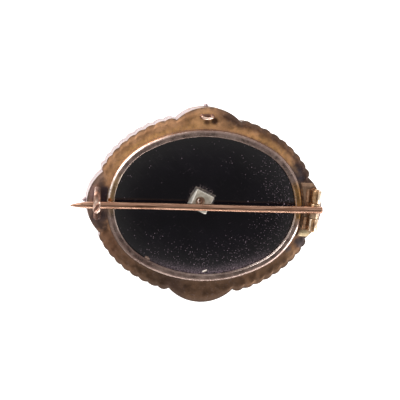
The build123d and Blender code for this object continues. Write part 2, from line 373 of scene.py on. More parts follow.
@dataclass(frozen=True)
class DrawnWire:
    """Gold wire drawn through a plate and worn by rubbing, with lines and dark patches along it.

    Args:
        name: The finish's name.
        clean: Colour where it is worn bright.
        dull: Colour of most of the wire.
        dark: Colour of its patches of tarnishing.
        smooth: Roughness where it is bright.
        rough: Roughness where it is dull.
        stains_and_light: Patches with a place of their own.
    """

    name: str
    clean: str
    dull: str
    dark: str
    smooth: float
    rough: float
    stains_and_light: tuple[StainAndLight, ...]

    def material(self) -> Material:
        """Builds the node material."""
        s = Shader(self.name)
        colour = s.coats(
            self.dull,
            (s.clouds(0.7, 0.40, 0.66, stretch=(5, 1, 1), **BROKEN), self.dark),
            (s.clouds(0.16, 0.44, 0.66, (0.0, 0.55), stretch=(26, 1, 1), **SMALL), self.clean),
            *[(s.patch(spot), spot.colour) for spot in self.stains_and_light],
        )
        rough = s.clouds(0.8, 0.35, 0.65, (self.smooth, self.rough), roughness=0.6, stretch=(4, 1, 1))
        return s.finish(
            {"Base Color": colour, "Metallic": 1.0, "Roughness": rough},
            [(s.grain(0.14, 3.0, 0.5, (30, 1, 1)), 0.28, 0.015), (s.grain(1.2, 3.0), 0.15, 0.05)],
        )


@dataclass(frozen=True)
class FiledWhiteMetal:
    """Nickel silver cut with a file and dulled, with file marks and a grey skin.

    Args:
        name: The finish's name.
        bright: Colour of the worn edges.
        clean: Colour of the lighter skin.
        dull: Colour of the darker skin.
        dark: Colour of dirt in the marks.
    """

    name: str
    bright: str
    clean: str
    dull: str
    dark: str

    def material(self) -> Material:
        """Builds the node material."""
        s = Shader(self.name)
        marks = s.grain(0.13, 3.0, 0.5, (9, 1, 1), 25.0)
        colour = s.coats(
            self.clean,
            (s.clouds(0.8, 0.36, 0.66, **BROKEN), self.dull),
            (s.add("MapRange", (marks, 0.56, 0.74, 0.0, 0.45), **SMOOTH), self.dark),
            (s.marked("wear_and_highlight", 0.9), self.bright),
            (s.marked("grime_and_shade"), self.dark),
        )
        rough = s.clouds(0.5, 0.35, 0.65, (0.42, 0.60))
        return s.finish(
            {"Base Color": colour, "Metallic": 1.0, "Roughness": rough},
            [(marks, 0.30, 0.02), (s.grain(0.4), 0.20, 0.04)],
        )


@dataclass(frozen=True)
class BlackEnamel:
    """Fired black glass enamel, glossy and slightly wavy, with dust, lint and hairline scratches.

    Args:
        name: The finish's name.
        body: Colour of the glass.
        dust: Colour of the dust.
        smear: Colour of the thin greasy film.
        crumbs: Where the dry crumbs of old cement lie, round the nut, and their colour.
        grains: Finer and coarser dust. Grains of 0.03 to 0.08 mm are drawn at 0.15 mm, as finer
            ones would not show.
        half_length: Half the plaque's length, in millimetres.
        half_width: Half the plaque's width, in millimetres.
    """

    name: str
    body: str
    dust: str
    smear: str
    crumbs: StainAndLight
    grains: tuple[Dust, ...] = (Dust(0.20, 0.44, 0.46, 0.26), Dust(0.62, 0.11, 0.155, 0.80))
    half_length: float = 15.45
    half_width: float = 11.78

    def specks(self, s: Shader, dust: Dust, thickness: NodeSocket) -> NodeSocket:
        """Grains of dust on the glass.

        Args:
            s: The material being made.
            dust: The grains.
            thickness: How thick dust lies, from 0 to 1.

        Returns:
            The mask of the grains, fainter for some than for others.
        """
        inputs = {"Vector": s.coords, "Scale": 1 / (dust.spacing * MM)}
        cells = s.add("TexVoronoi", inputs, feature="F1").node.outputs
        chance = s.add("SeparateXYZ", (cells["Color"],)).node.outputs
        share = s.add("Math", (thickness, dust.share), operation="MULTIPLY")
        held = s.add("Math", (chance["X"], share), operation="LESS_THAN")
        dot = s.add("MapRange", (cells["Distance"], dust.size, dust.size * 0.4), **SMOOTH)
        faint = s.add("MapRange", (chance["Y"], 0.0, 1.0, 0.25, 1.0), **SMOOTH)
        return s.chained("MULTIPLY", dot, held, faint, dust.strength)

    def covered(self, s: Shader) -> NodeSocket:
        """Dust, thicker at the lower and right rim where wiping doesn't reach, a haze of dust with a painted
        sheen at the lower rim, and lint.
        """
        place = s.add("SeparateXYZ", (s.coords,)).node.outputs
        x, y = s.add("Math", (place["X"], OVAL_X * MM), operation="SUBTRACT"), place["Y"]
        shares = [
            s.add("Math", (way, half * MM), operation="DIVIDE")
            for way, half in ((x, self.half_length), (y, self.half_width))
        ]
        squares = [s.add("Math", (share, share), operation="MULTIPLY") for share in shares]
        ring = s.add("Math", (s.add("Math", squares, operation="ADD"),), operation="SQRT")
        down_right, down = (
            s.add("Math", (s.add("Math", (x, slant), operation="MULTIPLY"), y), operation="SUBTRACT")
            for slant in (0.90, 0.08)
        )
        thickness = s.chained(
            "MULTIPLY",
            s.add("MapRange", (ring, 0.42, 1.0), **SMOOTH),
            s.add("MapRange", (down_right, -8 * MM, 12 * MM, 0.05, 1.0), **SMOOTH),
        )
        rim = s.add("MapRange", (ring, 0.82, 1.02), **SMOOTH)
        # A haze of dust at the lower rim, with a painted sheen there where the glass would mirror a lighter
        # room
        veil_and_sheen = s.chained(
            "MULTIPLY",
            s.add("Math", (rim, 1.4), operation="POWER"),
            s.add("MapRange", (down, 7.5 * MM, 12.5 * MM), **SMOOTH),
            s.clouds(0.22, 0.38, 0.64, (0.0, 0.42), roughness=0.75),
        )
        lint = s.clouds(0.09, 0.71, 0.77, (0.0, 0.07), stretch=(14, 1, 1), turn=35.0, **THIN)
        return s.chained("MAXIMUM", *[self.specks(s, dust, thickness) for dust in self.grains], veil_and_sheen, lint)

    def material(self) -> Material:
        """Builds the node material."""
        s = Shader(self.name)
        cover = self.covered(s)
        broken = s.clouds(0.24, 0.48, 0.62, detail=3.0, roughness=0.6)
        crumbs = s.chained("MULTIPLY", s.patch(self.crumbs), broken)
        film = s.clouds(5.0, 0.40, 0.65, (0.0, 0.35))
        colour = s.coats(self.body, (film, self.smear), (cover, self.dust), (crumbs, self.crumbs.colour))
        rough = s.clouds(4.0, 0.35, 0.65, (0.05, 0.10), detail=3.0)
        dirt = s.add("Math", (cover, crumbs), operation="MAXIMUM")
        rough = s.add("Math", (dirt, 0.6, rough), operation="MULTIPLY_ADD")
        scratches = s.clouds(0.10, 0.64, 0.70, stretch=(30, 1, 1), turn=-38.0, **THIN)
        return s.finish(
            {"Base Color": colour, "Metallic": 0.0, "Roughness": rough, "IOR": 1.5},
            [(s.grain(6.0, 2.0), 0.10, 0.12), (s.chained("MAXIMUM", crumbs, scratches), 0.12, 0.02)],
        )


@dataclass(frozen=True)
class Cement:
    """Old brown cement that was left round the nut: lumpy, dusty and not glossy.

    Args:
        name: The finish's name.
        light: Colour of its dusty lumps.
        dark: Colour of its hollows.
    """

    name: str
    light: str
    dark: str

    def material(self) -> Material:
        """Builds the node material."""
        s = Shader(self.name)
        lumps = s.clouds(0.26, 0.40, 0.64, detail=5.0, roughness=0.7)
        rough = s.add("MapRange", (lumps, 0.0, 1.0, 0.7, 0.5), **SMOOTH)
        surface = {"Base Color": s.coats(self.dark, (lumps, self.light)), "Metallic": 0.0, "Roughness": rough}
        return s.finish(surface, [(s.grain(0.18), 0.5, 0.06)])


# Patches of the back plate lie where the photograph shows them: painted shade and light, and blue-black
# tarnishing by the findings
BACK_STAINS_AND_LIGHT = (
    # Painted shade: the plate is painted a darker brown towards the bottom
    StainAndLight(0.0, -15.5, 4.1, 15.0, "664f40", 0.95, 2.6, 0.45),
    StainAndLight(-13.5, -10.5, 4.1, 6.0, "6e5444", 0.90, 1.6, 0.50),
    StainAndLight(-17.0, -7.0, 4.1, 4.0, "7e5c48", 0.88, 1.4, 0.45),
    StainAndLight(-6.0, -14.3, 4.1, 4.5, "54423a", 0.80, 2.0, 0.45),
    StainAndLight(-9.0, -12.6, 4.1, 3.6, "5a4638", 0.80, 1.6, 0.45),
    StainAndLight(13.0, -10.5, 4.1, 6.0, "6c5442", 0.90, 1.6, 0.50),
    # Painted light: a lighter gold on the top lobe
    StainAndLight(-3.1, 15.3, 4.1, 1.6, "b0805c", 0.80, 1.0, 0.30),
    StainAndLight(-1.0, 13.6, 4.1, 3.6, "f2bb80", 0.50, 1.8, 0.30),
    StainAndLight(15.6, 5.9, 4.1, 3.1, "3a3c4a", 0.96, 0.6, 0.40),
    StainAndLight(18.4, 4.6, 4.1, 1.5, "3e3c44", 0.92, 0.5, 0.40),
    StainAndLight(17.0, -5.9, 4.1, 2.2, "44464f", 0.92, 0.6, 0.25),
    StainAndLight(14.8, -7.2, 4.1, 0.9, "50525c", 0.80, 0.6, 0.30),
    StainAndLight(-18.3, -0.6, 4.1, 3.4, "7e6a66", 0.85, 0.9, 0.60),
    StainAndLight(-17.3, 1.4, 4.1, 2.2, "3a323c", 0.95, 0.6, 0.50),
    StainAndLight(-17.9, -2.9, 4.1, 2.4, "4a3e40", 0.90, 1.0, 0.45),
    StainAndLight(-19.0, 4.0, 4.1, 2.6, "8c736a", 0.85, 0.8, 0.40),
    StainAndLight(-19.5, 1.9, 4.1, 1.6, "a08284", 0.75, 0.6, 0.40),
    StainAndLight(15.6, -8.2, 4.1, 1.7, "b48e6e", 0.65, 0.7, 0.35),
    StainAndLight(4.8, 15.3, 4.1, 2.3, "6c584c", 0.80, 1.0, 0.45),
    StainAndLight(10.8, 10.6, 4.1, 3.6, "94704e", 0.60, 1.4, 0.40),
    # Painted shadows of the chain eye on the plate, to its lower right and under its crown
    StainAndLight(0.95, 14.45, 4.1, 0.95, "38221a", 0.95, 0.2, 0.35),
    StainAndLight(-0.30, 14.25, 4.1, 0.80, "54382a", 0.85, 0.2, 0.25),
)
COLLAR_STAINS_AND_SHADE = (
    StainAndLight(15.6, 1.0, 5.0, 4.2, "ab8048", 0.85, 1.2, 0.50),
    StainAndLight(-15.6, 2.0, 5.0, 4.6, "a8885c", 0.70, 1.4, 0.40),
    StainAndLight(-16.4, 0.65, 4.9, 0.62, "b87c44", 0.90, 0.2, 0.45),
    # Painted shade on the collar's lower left, where a lamp's reflection would be too bright
    StainAndLight(-12.0, -8.6, 5.0, 5.5, "74605a", 0.80, 1.0, 0.50),
)
BASE_PATCHES = (
    # A pale cream patch at the base's lower end, and a brown one above it
    StainAndLight(17.4, -4.6, 4.6, 1.3, "f2dcb0", 0.90, 0.4, 0.55),
    StainAndLight(16.9, -2.4, 4.6, 1.5, "7c6250", 0.85, 0.5, 0.50),
)

OLD_GOLD = WornGold("old_gold_worn", "98888a", "dca87e", "c08e66", "4a382c", 0.30, 0.42, 2.8, BACK_STAINS_AND_LIGHT)
COLLAR_GOLD = WornGold(
    "old_gold_collar", "f8eae2", "96827a", "84706a", "4a3a30", 0.26, 0.40, 3.0, COLLAR_STAINS_AND_SHADE
)
CATCH_GOLD = WornGold("catch_gold", "f0d4c4", "8e6a5c", "74503f", "38241e", 0.34, 0.46, 1.0)
YELLOW_GOLD = WornGold("hinge_gold_polished", "fceed8", "b08c68", "8a684a", "3c2818", 0.16, 0.28, 0.6)
BASE_GOLD = WornGold("hinge_gold_base", "f4e2c0", "a07e6a", "7e604e", "3c2c20", 0.26, 0.38, 1.0, BASE_PATCHES)
SOLDER_GOLD = WornGold("hinge_gold_solder", "e8c8a8", "a48066", "7c6048", "3c2c22", 0.22, 0.34, 0.6)
POST_GOLD = WornGold("post_gold", "fff0e8", "7c5e4e", "5e4638", "4a3a30", 0.24, 0.36, 0.5)
WIRE_STAINS = (StainAndLight(20.0, 0.1, 6.2, 0.85, "52342a", 0.85, 0.3, 0.4),)
ROSE_WIRE = DrawnWire("rose_gold_wire", "d0aa94", "98735f", "785846", 0.16, 0.25, WIRE_STAINS)
NUT_METAL = FiledWhiteMetal("nickel_silver_filed", "f8f4ec", "c2bcb0", "a29c90", "725c4c")
CRUMBS = StainAndLight(-0.66, 1.3, 4.2, 2.60, "44383a", 0.9, 0.5, 0.60)
ENAMEL = BlackEnamel("black_enamel_fired", "09080c", "c8b0c0", "100e14", CRUMBS)
CEMENT = Cement("old_cement", "5e544c", "211a18")
TAB_CEMENT = Cement("brown_cement", "846c60", "5c483e")
PLASTER = Cement("white_plaster", "f4ece4", "cfc4ba")


# Mesh helpers


def arc_through(start: Vector, middle: Vector, end: Vector) -> tuple[Vector, float]:
    """The centre and the turn of the arc through three points.

    Args:
        start: First point.
        middle: A point on the arc.
        end: Last point.

    Returns:
        The centre, and the signed angle from start to end, in radians.
    """
    a, b, c = start.xy, middle.xy, end.xy
    d = 2 * (a.x * (b.y - c.y) + b.x * (c.y - a.y) + c.x * (a.y - b.y))
    sa, sb, sc = a.length_squared, b.length_squared, c.length_squared
    x = (sa * (b.y - c.y) + sb * (c.y - a.y) + sc * (a.y - b.y)) / d
    y = (sa * (c.x - b.x) + sb * (a.x - c.x) + sc * (b.x - a.x)) / d
    centre = Vector((x, y, start.z))
    first, last = (start - centre).xy, (end - centre).xy
    return centre, math.atan2(first.cross(last), first.dot(last))


def spin_on(
    bm: BMesh, geometry: Iterable, centre: Sequence[float], angle: float, steps: int,
    axis: Sequence[float] = (0, 0, 1),
) -> list:
    """Spins geometry about an axis and gives the copy at the end of the turn."""
    made = bmesh.ops.spin(
        bm, geom=list(geometry), cent=centre, axis=axis, angle=angle, steps=steps, use_merge=False,
        use_duplicate=False,
    )
    return made["geom_last"]


def chain(bm: BMesh, points: Iterable[Sequence[float]], closed: bool = False) -> list:
    """Joins points by edges and gives their vertices and edges."""
    verts = [bm.verts.new(p) for p in points]
    edges = [bm.edges.new(pair) for pair in zip(verts, verts[1:])]
    if closed:
        edges.append(bm.edges.new((verts[-1], verts[0])))
    return verts + edges


def round_corners(bm: BMesh, edges: Iterable[BMEdge], offset: float, segments: int = 3) -> None:
    """Rounds edges with a bevel of that offset."""
    bmesh.ops.bevel(
        bm, geom=list(edges), offset=offset, offset_type="OFFSET", affect="EDGES", segments=segments,
        profile=0.5, material=-1, clamp_overlap=True,
    )


def sharp_edges(bm: BMesh, degrees: float) -> list[BMEdge]:
    """The edges whose faces turn by more than an angle."""
    limit = math.radians(degrees)
    return [e for e in bm.edges if len(e.link_faces) == 2 and e.calc_face_angle(0.0) > limit]


def rise_of(edge: BMEdge) -> float:
    """How far an edge climbs."""
    return abs(edge.verts[0].co.z - edge.verts[1].co.z)


def lathe(
    bm: BMesh, profile: Sequence[tuple[float, float]], origin: Vector, axis: Vector, steps: int,
    closed: bool = False,
) -> None:
    """Turns a profile round an axis.

    Args:
        bm: The mesh to add to.
        profile: Points as distance along the axis and radius, in millimetres.
        origin: Where the axis starts.
        axis: Its direction.
        steps: How many steps make the full turn.
        closed: Whether the profile is a loop.
    """
    axis = axis.normalized()
    side = axis.orthogonal().normalized()
    geometry = chain(bm, [origin + axis * a + side * r for a, r in profile], closed)
    bmesh.ops.spin(
        bm, geom=geometry, cent=origin, axis=axis, angle=2 * math.pi, steps=steps, use_merge=True,
        use_duplicate=False,
    )
    bmesh.ops.remove_doubles(bm, verts=bm.verts, dist=MERGE)


def rod(radius: float, length: float) -> list[tuple[float, float]]:
    """A plain rod's profile for the lathe."""
    return [(0, 0), (0, radius), (length, radius), (length, 0)]


def roughen(bm: BMesh, depth: float, size: float, seed: float) -> None:
    """Moves vertices along their normals by smooth noise, as hand work and wear leave a surface.

    Args:
        bm: The mesh.
        depth: The most that a vertex moves, in millimetres.
        size: The size of the waves, in millimetres.
        seed: Where the noise starts.
    """
    bm.normal_update()
    for v in bm.verts:
        v.co += v.normal * noise.noise(v.co / size + Vector((seed, seed, seed))) * depth


def clamped(value: float) -> float:
    """Holds a value between 0 and 1."""
    return min(1.0, max(0.0, value))


def eased(value: float) -> float:
    """Holds a value between 0 and 1 and softens both ends of its rise."""
    share = clamped(value)
    return share * share * (3 - 2 * share)


def azimuth_of(v: BMVert) -> float:
    """Where a vertex lies round the oval, in degrees."""
    return math.degrees(math.atan2(v.co.y, v.co.x))


def layers(bm: BMesh, *names: str) -> list:
    """Adds layers of values to a mesh's vertices."""
    return [bm.verts.layers.float.new(name) for name in names]


def only(kind: type, geometry: Iterable) -> list:
    """The vertices, the edges or the faces of what an operator gives."""
    return [g for g in geometry if isinstance(g, kind)]


def extrude_ring(bm: BMesh, ring: Iterable[BMEdge]) -> tuple[list[BMVert], list[BMEdge]]:
    """Extrudes a ring of edges and gives the new ring's vertices and edges."""
    made = bmesh.ops.extrude_edge_only(bm, edges=list(ring))["geom"]
    verts = only(BMVert, made)
    inside = set(verts)
    return verts, [e for e in only(BMEdge, made) if all(v in inside for v in e.verts)]


def raise_faces(bm: BMesh, faces: Iterable[BMFace], move: Sequence[float]) -> None:
    """Extrudes faces and moves their far side."""
    made = bmesh.ops.extrude_face_region(bm, geom=list(faces))
    bmesh.ops.translate(bm, verts=only(BMVert, made["geom"]), vec=move)


def blob(
    bm: BMesh, place: Sequence[float], size: Sequence[float], turn: float = 0.0, detail: int = 4
) -> None:
    """Adds a smooth lump.

    Args:
        bm: The mesh to add to.
        place: Its middle.
        size: Half its size each way, in millimetres.
        turn: Its turn about the vertical, in degrees.
        detail: How often its faces are divided.
    """
    at = Matrix.Translation(place) @ Matrix.Rotation(math.radians(turn), 4, "Z") @ Matrix.Diagonal((*size, 1))
    bmesh.ops.create_icosphere(bm, subdivisions=detail, radius=1.0, matrix=at)


@dataclass
class Piece:
    """A finished piece: its mesh, name, finish, body, slot and the node it stands for.

    Args:
        name: The piece's name.
        material: Its finish.
        body: The body it rides on.
        slot: The record's slot it takes its finish from. It is not used.
        node: The CAD node it stands for.
        sharp: Edges that turn more than this many degrees stay sharp.
    """

    name: str
    material: Material
    body: Body
    slot: Slot
    node: str
    sharp: float = 38.0

    def make(self, bm: BMesh) -> None:
        """Finishes a mesh in millimetres from the oval's middle, frees it and shows it in metres."""
        bmesh.ops.remove_doubles(bm, verts=bm.verts, dist=MERGE)
        bmesh.ops.recalc_face_normals(bm, faces=bm.faces)
        for face in bm.faces:
            face.smooth = True
        for edge in sharp_edges(bm, self.sharp):
            edge.smooth = False
        bmesh.ops.translate(bm, verts=bm.verts, vec=(OVAL_X, 0, 0))
        bmesh.ops.scale(bm, verts=bm.verts, vec=(MM, MM, MM))
        mesh = bpy.data.meshes.new(self.name)
        bm.to_mesh(mesh)
        bm.free()
        piece = bpy.data.objects.new(self.name, mesh)
        mesh.materials.append(self.material)
        bpy.context.scene.collection.objects.link(piece)
        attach(piece, self.body.value)
        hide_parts(self.node)
        LOG.info("%s: %d faces, rides on %s", self.name, len(mesh.polygons), self.body.value)


def carve(bm: BMesh, cutter: BMesh) -> BMesh:
    """Cuts one closed mesh out of another.

    Args:
        bm: The mesh that is cut. It is freed.
        cutter: The mesh that is taken away. It is freed.

    Returns:
        The cut mesh.
    """
    bmesh.ops.recalc_face_normals(bm, faces=bm.faces)
    bmesh.ops.recalc_face_normals(cutter, faces=cutter.faces)
    objects = []
    for source in (bm, cutter):
        mesh = bpy.data.meshes.new("carving")
        source.to_mesh(mesh)
        source.free()
        objects.append(bpy.data.objects.new("carving", mesh))
        bpy.context.scene.collection.objects.link(objects[-1])
    modifier = objects[0].modifiers.new("cut", "BOOLEAN")
    modifier.object = objects[1]
    modifier.operation = "DIFFERENCE"
    modifier.solver = "MANIFOLD"
    cut = bpy.data.meshes.new_from_object(objects[0].evaluated_get(bpy.context.evaluated_depsgraph_get()))
    result = bmesh.new()
    result.from_mesh(cut)
    bpy.data.meshes.remove(cut)
    for spare in objects:
        mesh = spare.data
        bpy.data.objects.remove(spare)
        bpy.data.meshes.remove(mesh)
    return result


# Outlines


@dataclass(frozen=True)
class FourArcOval:
    """The opening's oval: two end arcs and two side arcs about the brooch's middle.

    Args:
        half_length: Half its length.
        half_width: Half its width.
        end_fullness: The end arcs' radius as a share of half the width.
    """

    half_length: float = 15.45
    half_width: float = 11.78
    end_fullness: float = 0.883

    @property
    def end_radius(self) -> float:
        """Radius of the end arcs."""
        return self.half_width * self.end_fullness

    @property
    def side_radius(self) -> float:
        """Radius of the side arcs."""
        a, b, r = self.half_length, self.half_width, self.end_radius
        return (a * a + b * b - 2 * a * r) / (2 * (b - r))

    @property
    def joint_angle(self) -> float:
        """Where the end arc meets the side arc, seen from the end arc's centre."""
        return math.atan2(self.side_radius - self.half_width, self.half_length - self.end_radius)

    def distance(self, x: float, y: float) -> float:
        """How far a point lies outside the oval, in millimetres."""
        x, y = abs(x), abs(y)
        end = Vector((self.half_length - self.end_radius, 0))
        side = Vector((0, self.half_width - self.side_radius))
        point = Vector((x, y))
        if (end - side).cross(point - side) > 0:
            return (point - side).length - self.side_radius
        return (point - end).length - self.end_radius

    def sweep(
        self, bm: BMesh, section: Sequence[tuple[float, float]], quarter: int, closed: bool = True
    ) -> None:
        """Runs a section round the oval by four spins.

        Args:
            bm: The mesh to add to.
            section: Points as distance outside the oval and height.
            quarter: Steps in a quarter of the way round.
            closed: Whether the section is a loop.
        """
        turn = self.joint_angle
        reach = self.half_length - self.end_radius
        drop = self.side_radius - self.half_width
        along = Vector((math.cos(-turn), math.sin(-turn), 0))
        points = [Vector((reach, 0, z)) + along * (self.end_radius + grow) for grow, z in section]
        geometry = chain(bm, points, closed)
        end_steps = max(4, round(quarter * 2 * turn / math.pi))
        for centre, angle, steps in (
            ((reach, 0, 0), 2 * turn, 2 * end_steps),
            ((0, -drop, 0), math.pi - 2 * turn, 2 * (quarter - end_steps)),
            ((-reach, 0, 0), 2 * turn, 2 * end_steps),
            ((0, drop, 0), math.pi - 2 * turn, 2 * (quarter - end_steps)),
        ):
            geometry = spin_on(bm, geometry, centre, angle, steps)
        bmesh.ops.remove_doubles(bm, verts=bm.verts, dist=SEAM)


@dataclass(frozen=True)
class FlutedOutline:
    """The border's outline: nine flutes in each quarter, and a lobe at each end and side."""

    half_length: float = 19.1
    half_width: float = 15.45
    flute_depth: float = 0.23
    flutes: int = 9
    end_span: float = 10.8
    end_tip: float = 20.05
    side_span: float = 11.15
    side_tip: float = 16.75
    cusp_notch: float = 0.25
    flute_steps: int = 8
    lobe_steps: int = 21

    def on_oval(self, angle: float, grow: float, z: float) -> Vector:
        """A point of the flutes' oval, grown by a margin."""
        x = (self.half_length + grow) * math.cos(angle)
        return Vector((x, (self.half_width + grow) * math.sin(angle), z))

    @property
    def span(self) -> tuple[float, float]:
        """Where a quarter's flutes start and end on their oval, in radians."""
        first = math.asin(self.end_span / 2 / self.half_width)
        return first, math.acos(self.side_span / 2 / self.half_length)

    @property
    def end_cusp(self) -> Vector:
        """The cusp between the end lobe and the flutes."""
        return self.on_oval(self.span[0], -self.flute_depth / 2 - self.cusp_notch, 0)

    @property
    def side_cusp(self) -> Vector:
        """The cusp between the side lobe and the flutes."""
        return self.on_oval(self.span[1], -self.flute_depth / 2 - self.cusp_notch, 0)

    @property
    def end_radius(self) -> float:
        """Radius of the end lobe."""
        rise = self.end_tip - self.end_cusp.x
        return (self.end_cusp.y**2 + rise**2) / (2 * rise)

    def draw(self, bm: BMesh, z: float) -> None:
        """Draws a quarter by spinning one vertex along its arcs, and mirrors it twice.

        Args:
            bm: The mesh to add to.
            z: Its height.
        """
        first, last = self.span
        step = (last - first) / self.flutes
        up = Vector((0, 0, z))
        tip = Vector((self.end_tip, 0, z))
        below = Vector((self.end_cusp.x, -self.end_cusp.y, z))
        centre, whole = arc_through(below, tip, self.end_cusp + up)
        arcs = [(centre, whole / 2, self.lobe_steps)]
        start = self.end_cusp + up
        for i in range(self.flutes):
            crest = self.on_oval(first + (i + 0.5) * step, self.flute_depth / 2, z)
            valley = self.on_oval(first + (i + 1) * step, -self.flute_depth / 2, z)
            end = self.side_cusp + up if i == self.flutes - 1 else valley
            centre, turn = arc_through(start, crest, end)
            arcs.append((centre, turn, self.flute_steps))
            start = end
        side_tip = Vector((0, self.side_tip, z))
        beyond = Vector((-self.side_cusp.x, self.side_cusp.y, z))
        centre, whole = arc_through(start, side_tip, beyond)
        arcs.append((centre, whole / 2, self.lobe_steps))
        geometry = [bm.verts.new(tip)]
        for centre, turn, steps in arcs:
            geometry = spin_on(bm, geometry, centre, turn, steps)
        for axis in ("X", "Y"):
            bmesh.ops.mirror(bm, geom=bm.verts[:] + bm.edges[:], merge_dist=SEAM, axis=axis)
        bmesh.ops.remove_doubles(bm, verts=bm.verts, dist=SEAM)

    @property
    def quarter(self) -> int:
        """Steps in a quarter of the way round."""
        return self.flutes * self.flute_steps + 2 * self.lobe_steps


# The brooch's parts


@dataclass(frozen=True)
class AzimuthBand:
    """A stretch of the way round the oval where something wears, leans, or is painted lighter or darker,
    strongest in its middle.

    Args:
        azimuth: Its middle, in degrees.
        reach: How far it runs to either side, in degrees.
        strength: How strong it is in the middle.
        width: How far it runs in from an edge, in millimetres.
    """

    azimuth: float
    reach: float
    strength: float = 1.0
    width: float = math.inf

    def at(self, azimuth: float, inward: float = 0.0) -> float:
        """How strong it is at a place round the oval, that far in from the edge."""
        away = abs((azimuth - self.azimuth + 180) % 360 - 180) / self.reach
        return 0.0 if away >= 1 or inward >= self.width else self.strength * (1 - away * away) ** 0.7


@dataclass
class Border:
    """The hollow border: its flat back plate, the fluted wall and the step of its front."""

    outline: FlutedOutline = FlutedOutline()
    opening: FourArcOval = FourArcOval()
    collar_wall: float = 1.2
    front: float = 0.7
    edge_round: float = 0.14
    rings: int = 9
    soft_from: float = 0.72
    soft_to: float = 0.90
    edge_fall: float = 0.10
    notch_fall: float = 0.04
    notch_spread: float = 0.62
    rim_from: float = 0.905
    wall_from: float = 0.93
    swell: tuple[float, float] = (4.1, 0.03)
    ripple: tuple[float, float] = (1.3, 0.006)
    hollowing: float = 0.20
    # Round the oval: the lit wall's painted highlight, painted shade on the wall, where the wall leans in,
    # the flutes painted darker with tarnishing and shade, and a painted gold sheen beside the collar
    lit_wall: AzimuthBand = AzimuthBand(150, 58)
    shade: AzimuthBand = AzimuthBand(50, 55, 0.3)
    lean: AzimuthBand = AzimuthBand(66, 34, 0.36)
    darker_flutes: AzimuthBand = AzimuthBand(43, 44, 2.2)
    sheen_beside_collar: tuple[AzimuthBand, ...] = (AzimuthBand(130, 36, 0.85), AzimuthBand(50, 32, 0.5))
    bead_radius: float = 0.40
    bead_stand_out: float = 0.33

    def build(self) -> BMesh:
        """Makes the plate, the wall and the front step, and rounds the wall's edges."""
        bm = bmesh.new()
        edge, notch = layers(bm, "edge", "notch")
        self.outline.draw(bm, PLATE_BACK)
        self.mark_notches(bm, edge, notch)
        outer = bm.edges[:]
        known = set(outer)
        self.opening.sweep(bm, [(self.collar_wall - 0.2, PLATE_BACK)], self.outline.quarter, closed=False)
        inner = [e for e in bm.edges if e not in known]
        bmesh.ops.bridge_loops(bm, edges=outer + inner)
        across = [e for e in bm.edges if not e.is_boundary]
        bmesh.ops.subdivide_edges(bm, edges=across, cuts=self.rings, use_grid_fill=True)
        # The plate is copied down to the front, and walls close it
        copy = bmesh.ops.duplicate(bm, geom=bm.verts[:] + bm.edges[:] + bm.faces[:])["geom"]
        bmesh.ops.translate(bm, verts=only(BMVert, copy), vec=(0, 0, self.front - PLATE_BACK))
        for outside in (True, False):
            loops = [e for e in bm.edges if e.is_boundary and self.is_outer(e) == outside]
            bmesh.ops.bridge_loops(bm, edges=loops)
        bmesh.ops.recalc_face_normals(bm, faces=bm.faces)
        walls = [e for e in bm.edges if self.is_outer(e) and rise_of(e) > 1]
        bmesh.ops.subdivide_edges(bm, edges=walls, cuts=5, use_grid_fill=True)
        rims = [e for e in sharp_edges(bm, 60) if self.is_outer(e) and rise_of(e) < 0.1]
        round_corners(bm, rims, self.edge_round, 4)
        return bm

    def is_outer(self, edge: BMEdge) -> bool:
        """Whether an edge lies outside the collar."""
        return self.opening.distance(edge.verts[0].co.x, edge.verts[0].co.y) > self.collar_wall

    def mark_notches(self, bm: BMesh, edge: object, notch: object) -> None:
        """Marks the outline's points, and how near each is to a notch between two flutes."""
        for v in bm.verts:
            ends = [e.other_vert(v).co for e in v.link_edges]
            dent = ((ends[0] + ends[1]) / 2 - v.co).dot(v.co.xy.to_3d().normalized())
            v[notch] = 1.0 if dent > 0.01 else 0.0
            v[edge] = 1.0
        for _ in range(2):
            beside = {v: max(e.other_vert(v)[notch] for e in v.link_edges) for v in bm.verts}
            for v, value in beside.items():
                v[notch] = max(v[notch], self.notch_spread * value)

    def shape_back(self, bm: BMesh) -> None:
        """Softens the plate's edge between the flutes, makes it a little uneven and marks its surface."""
        edge, notch = (bm.verts.layers.float[name] for name in ("edge", "notch"))
        marks = layers(bm, "wear_and_highlight", "grime_and_shade", "golden_sheen", "tarnish_and_shade")
        for v in bm.verts:
            away = self.opening.distance(v.co.x, v.co.y) - self.collar_wall
            near = clamped((v[edge] - self.soft_from) / (self.soft_to - self.soft_from))
            if v.co.z > PLATE_BACK - 0.002:
                lift = noise.noise(v.co / self.swell[0] + Vector((4.0, 0, 0))) * self.swell[1]
                lift += noise.noise(v.co / self.ripple[0]) * self.ripple[1]
                v.co.z += (lift - self.swell[1] / 2) * clamped(away / 0.8)
            depth = PLATE_BACK - v.co.z
            if depth < self.edge_round + 0.05:
                v.co.z -= self.edge_fall * near * near + self.notch_fall * v[notch] * near
            azimuth = azimuth_of(v)
            self.mark(v, away, v[edge], v[notch], depth, azimuth, marks)
            middle = (v.co.z - self.front) / (PLATE_BACK - self.front)
            if 0.02 < middle < 0.98 and away > 1:
                v.co.xy -= v.co.xy.normalized() * self.hollowing * middle * (1 - middle)
            # Beside the eye, towards the hinge, the wall leans in towards the front
            v.co.xy -= v.co.xy.normalized() * self.lean.at(azimuth) * clamped(1 - middle) * clamped(away - 1)

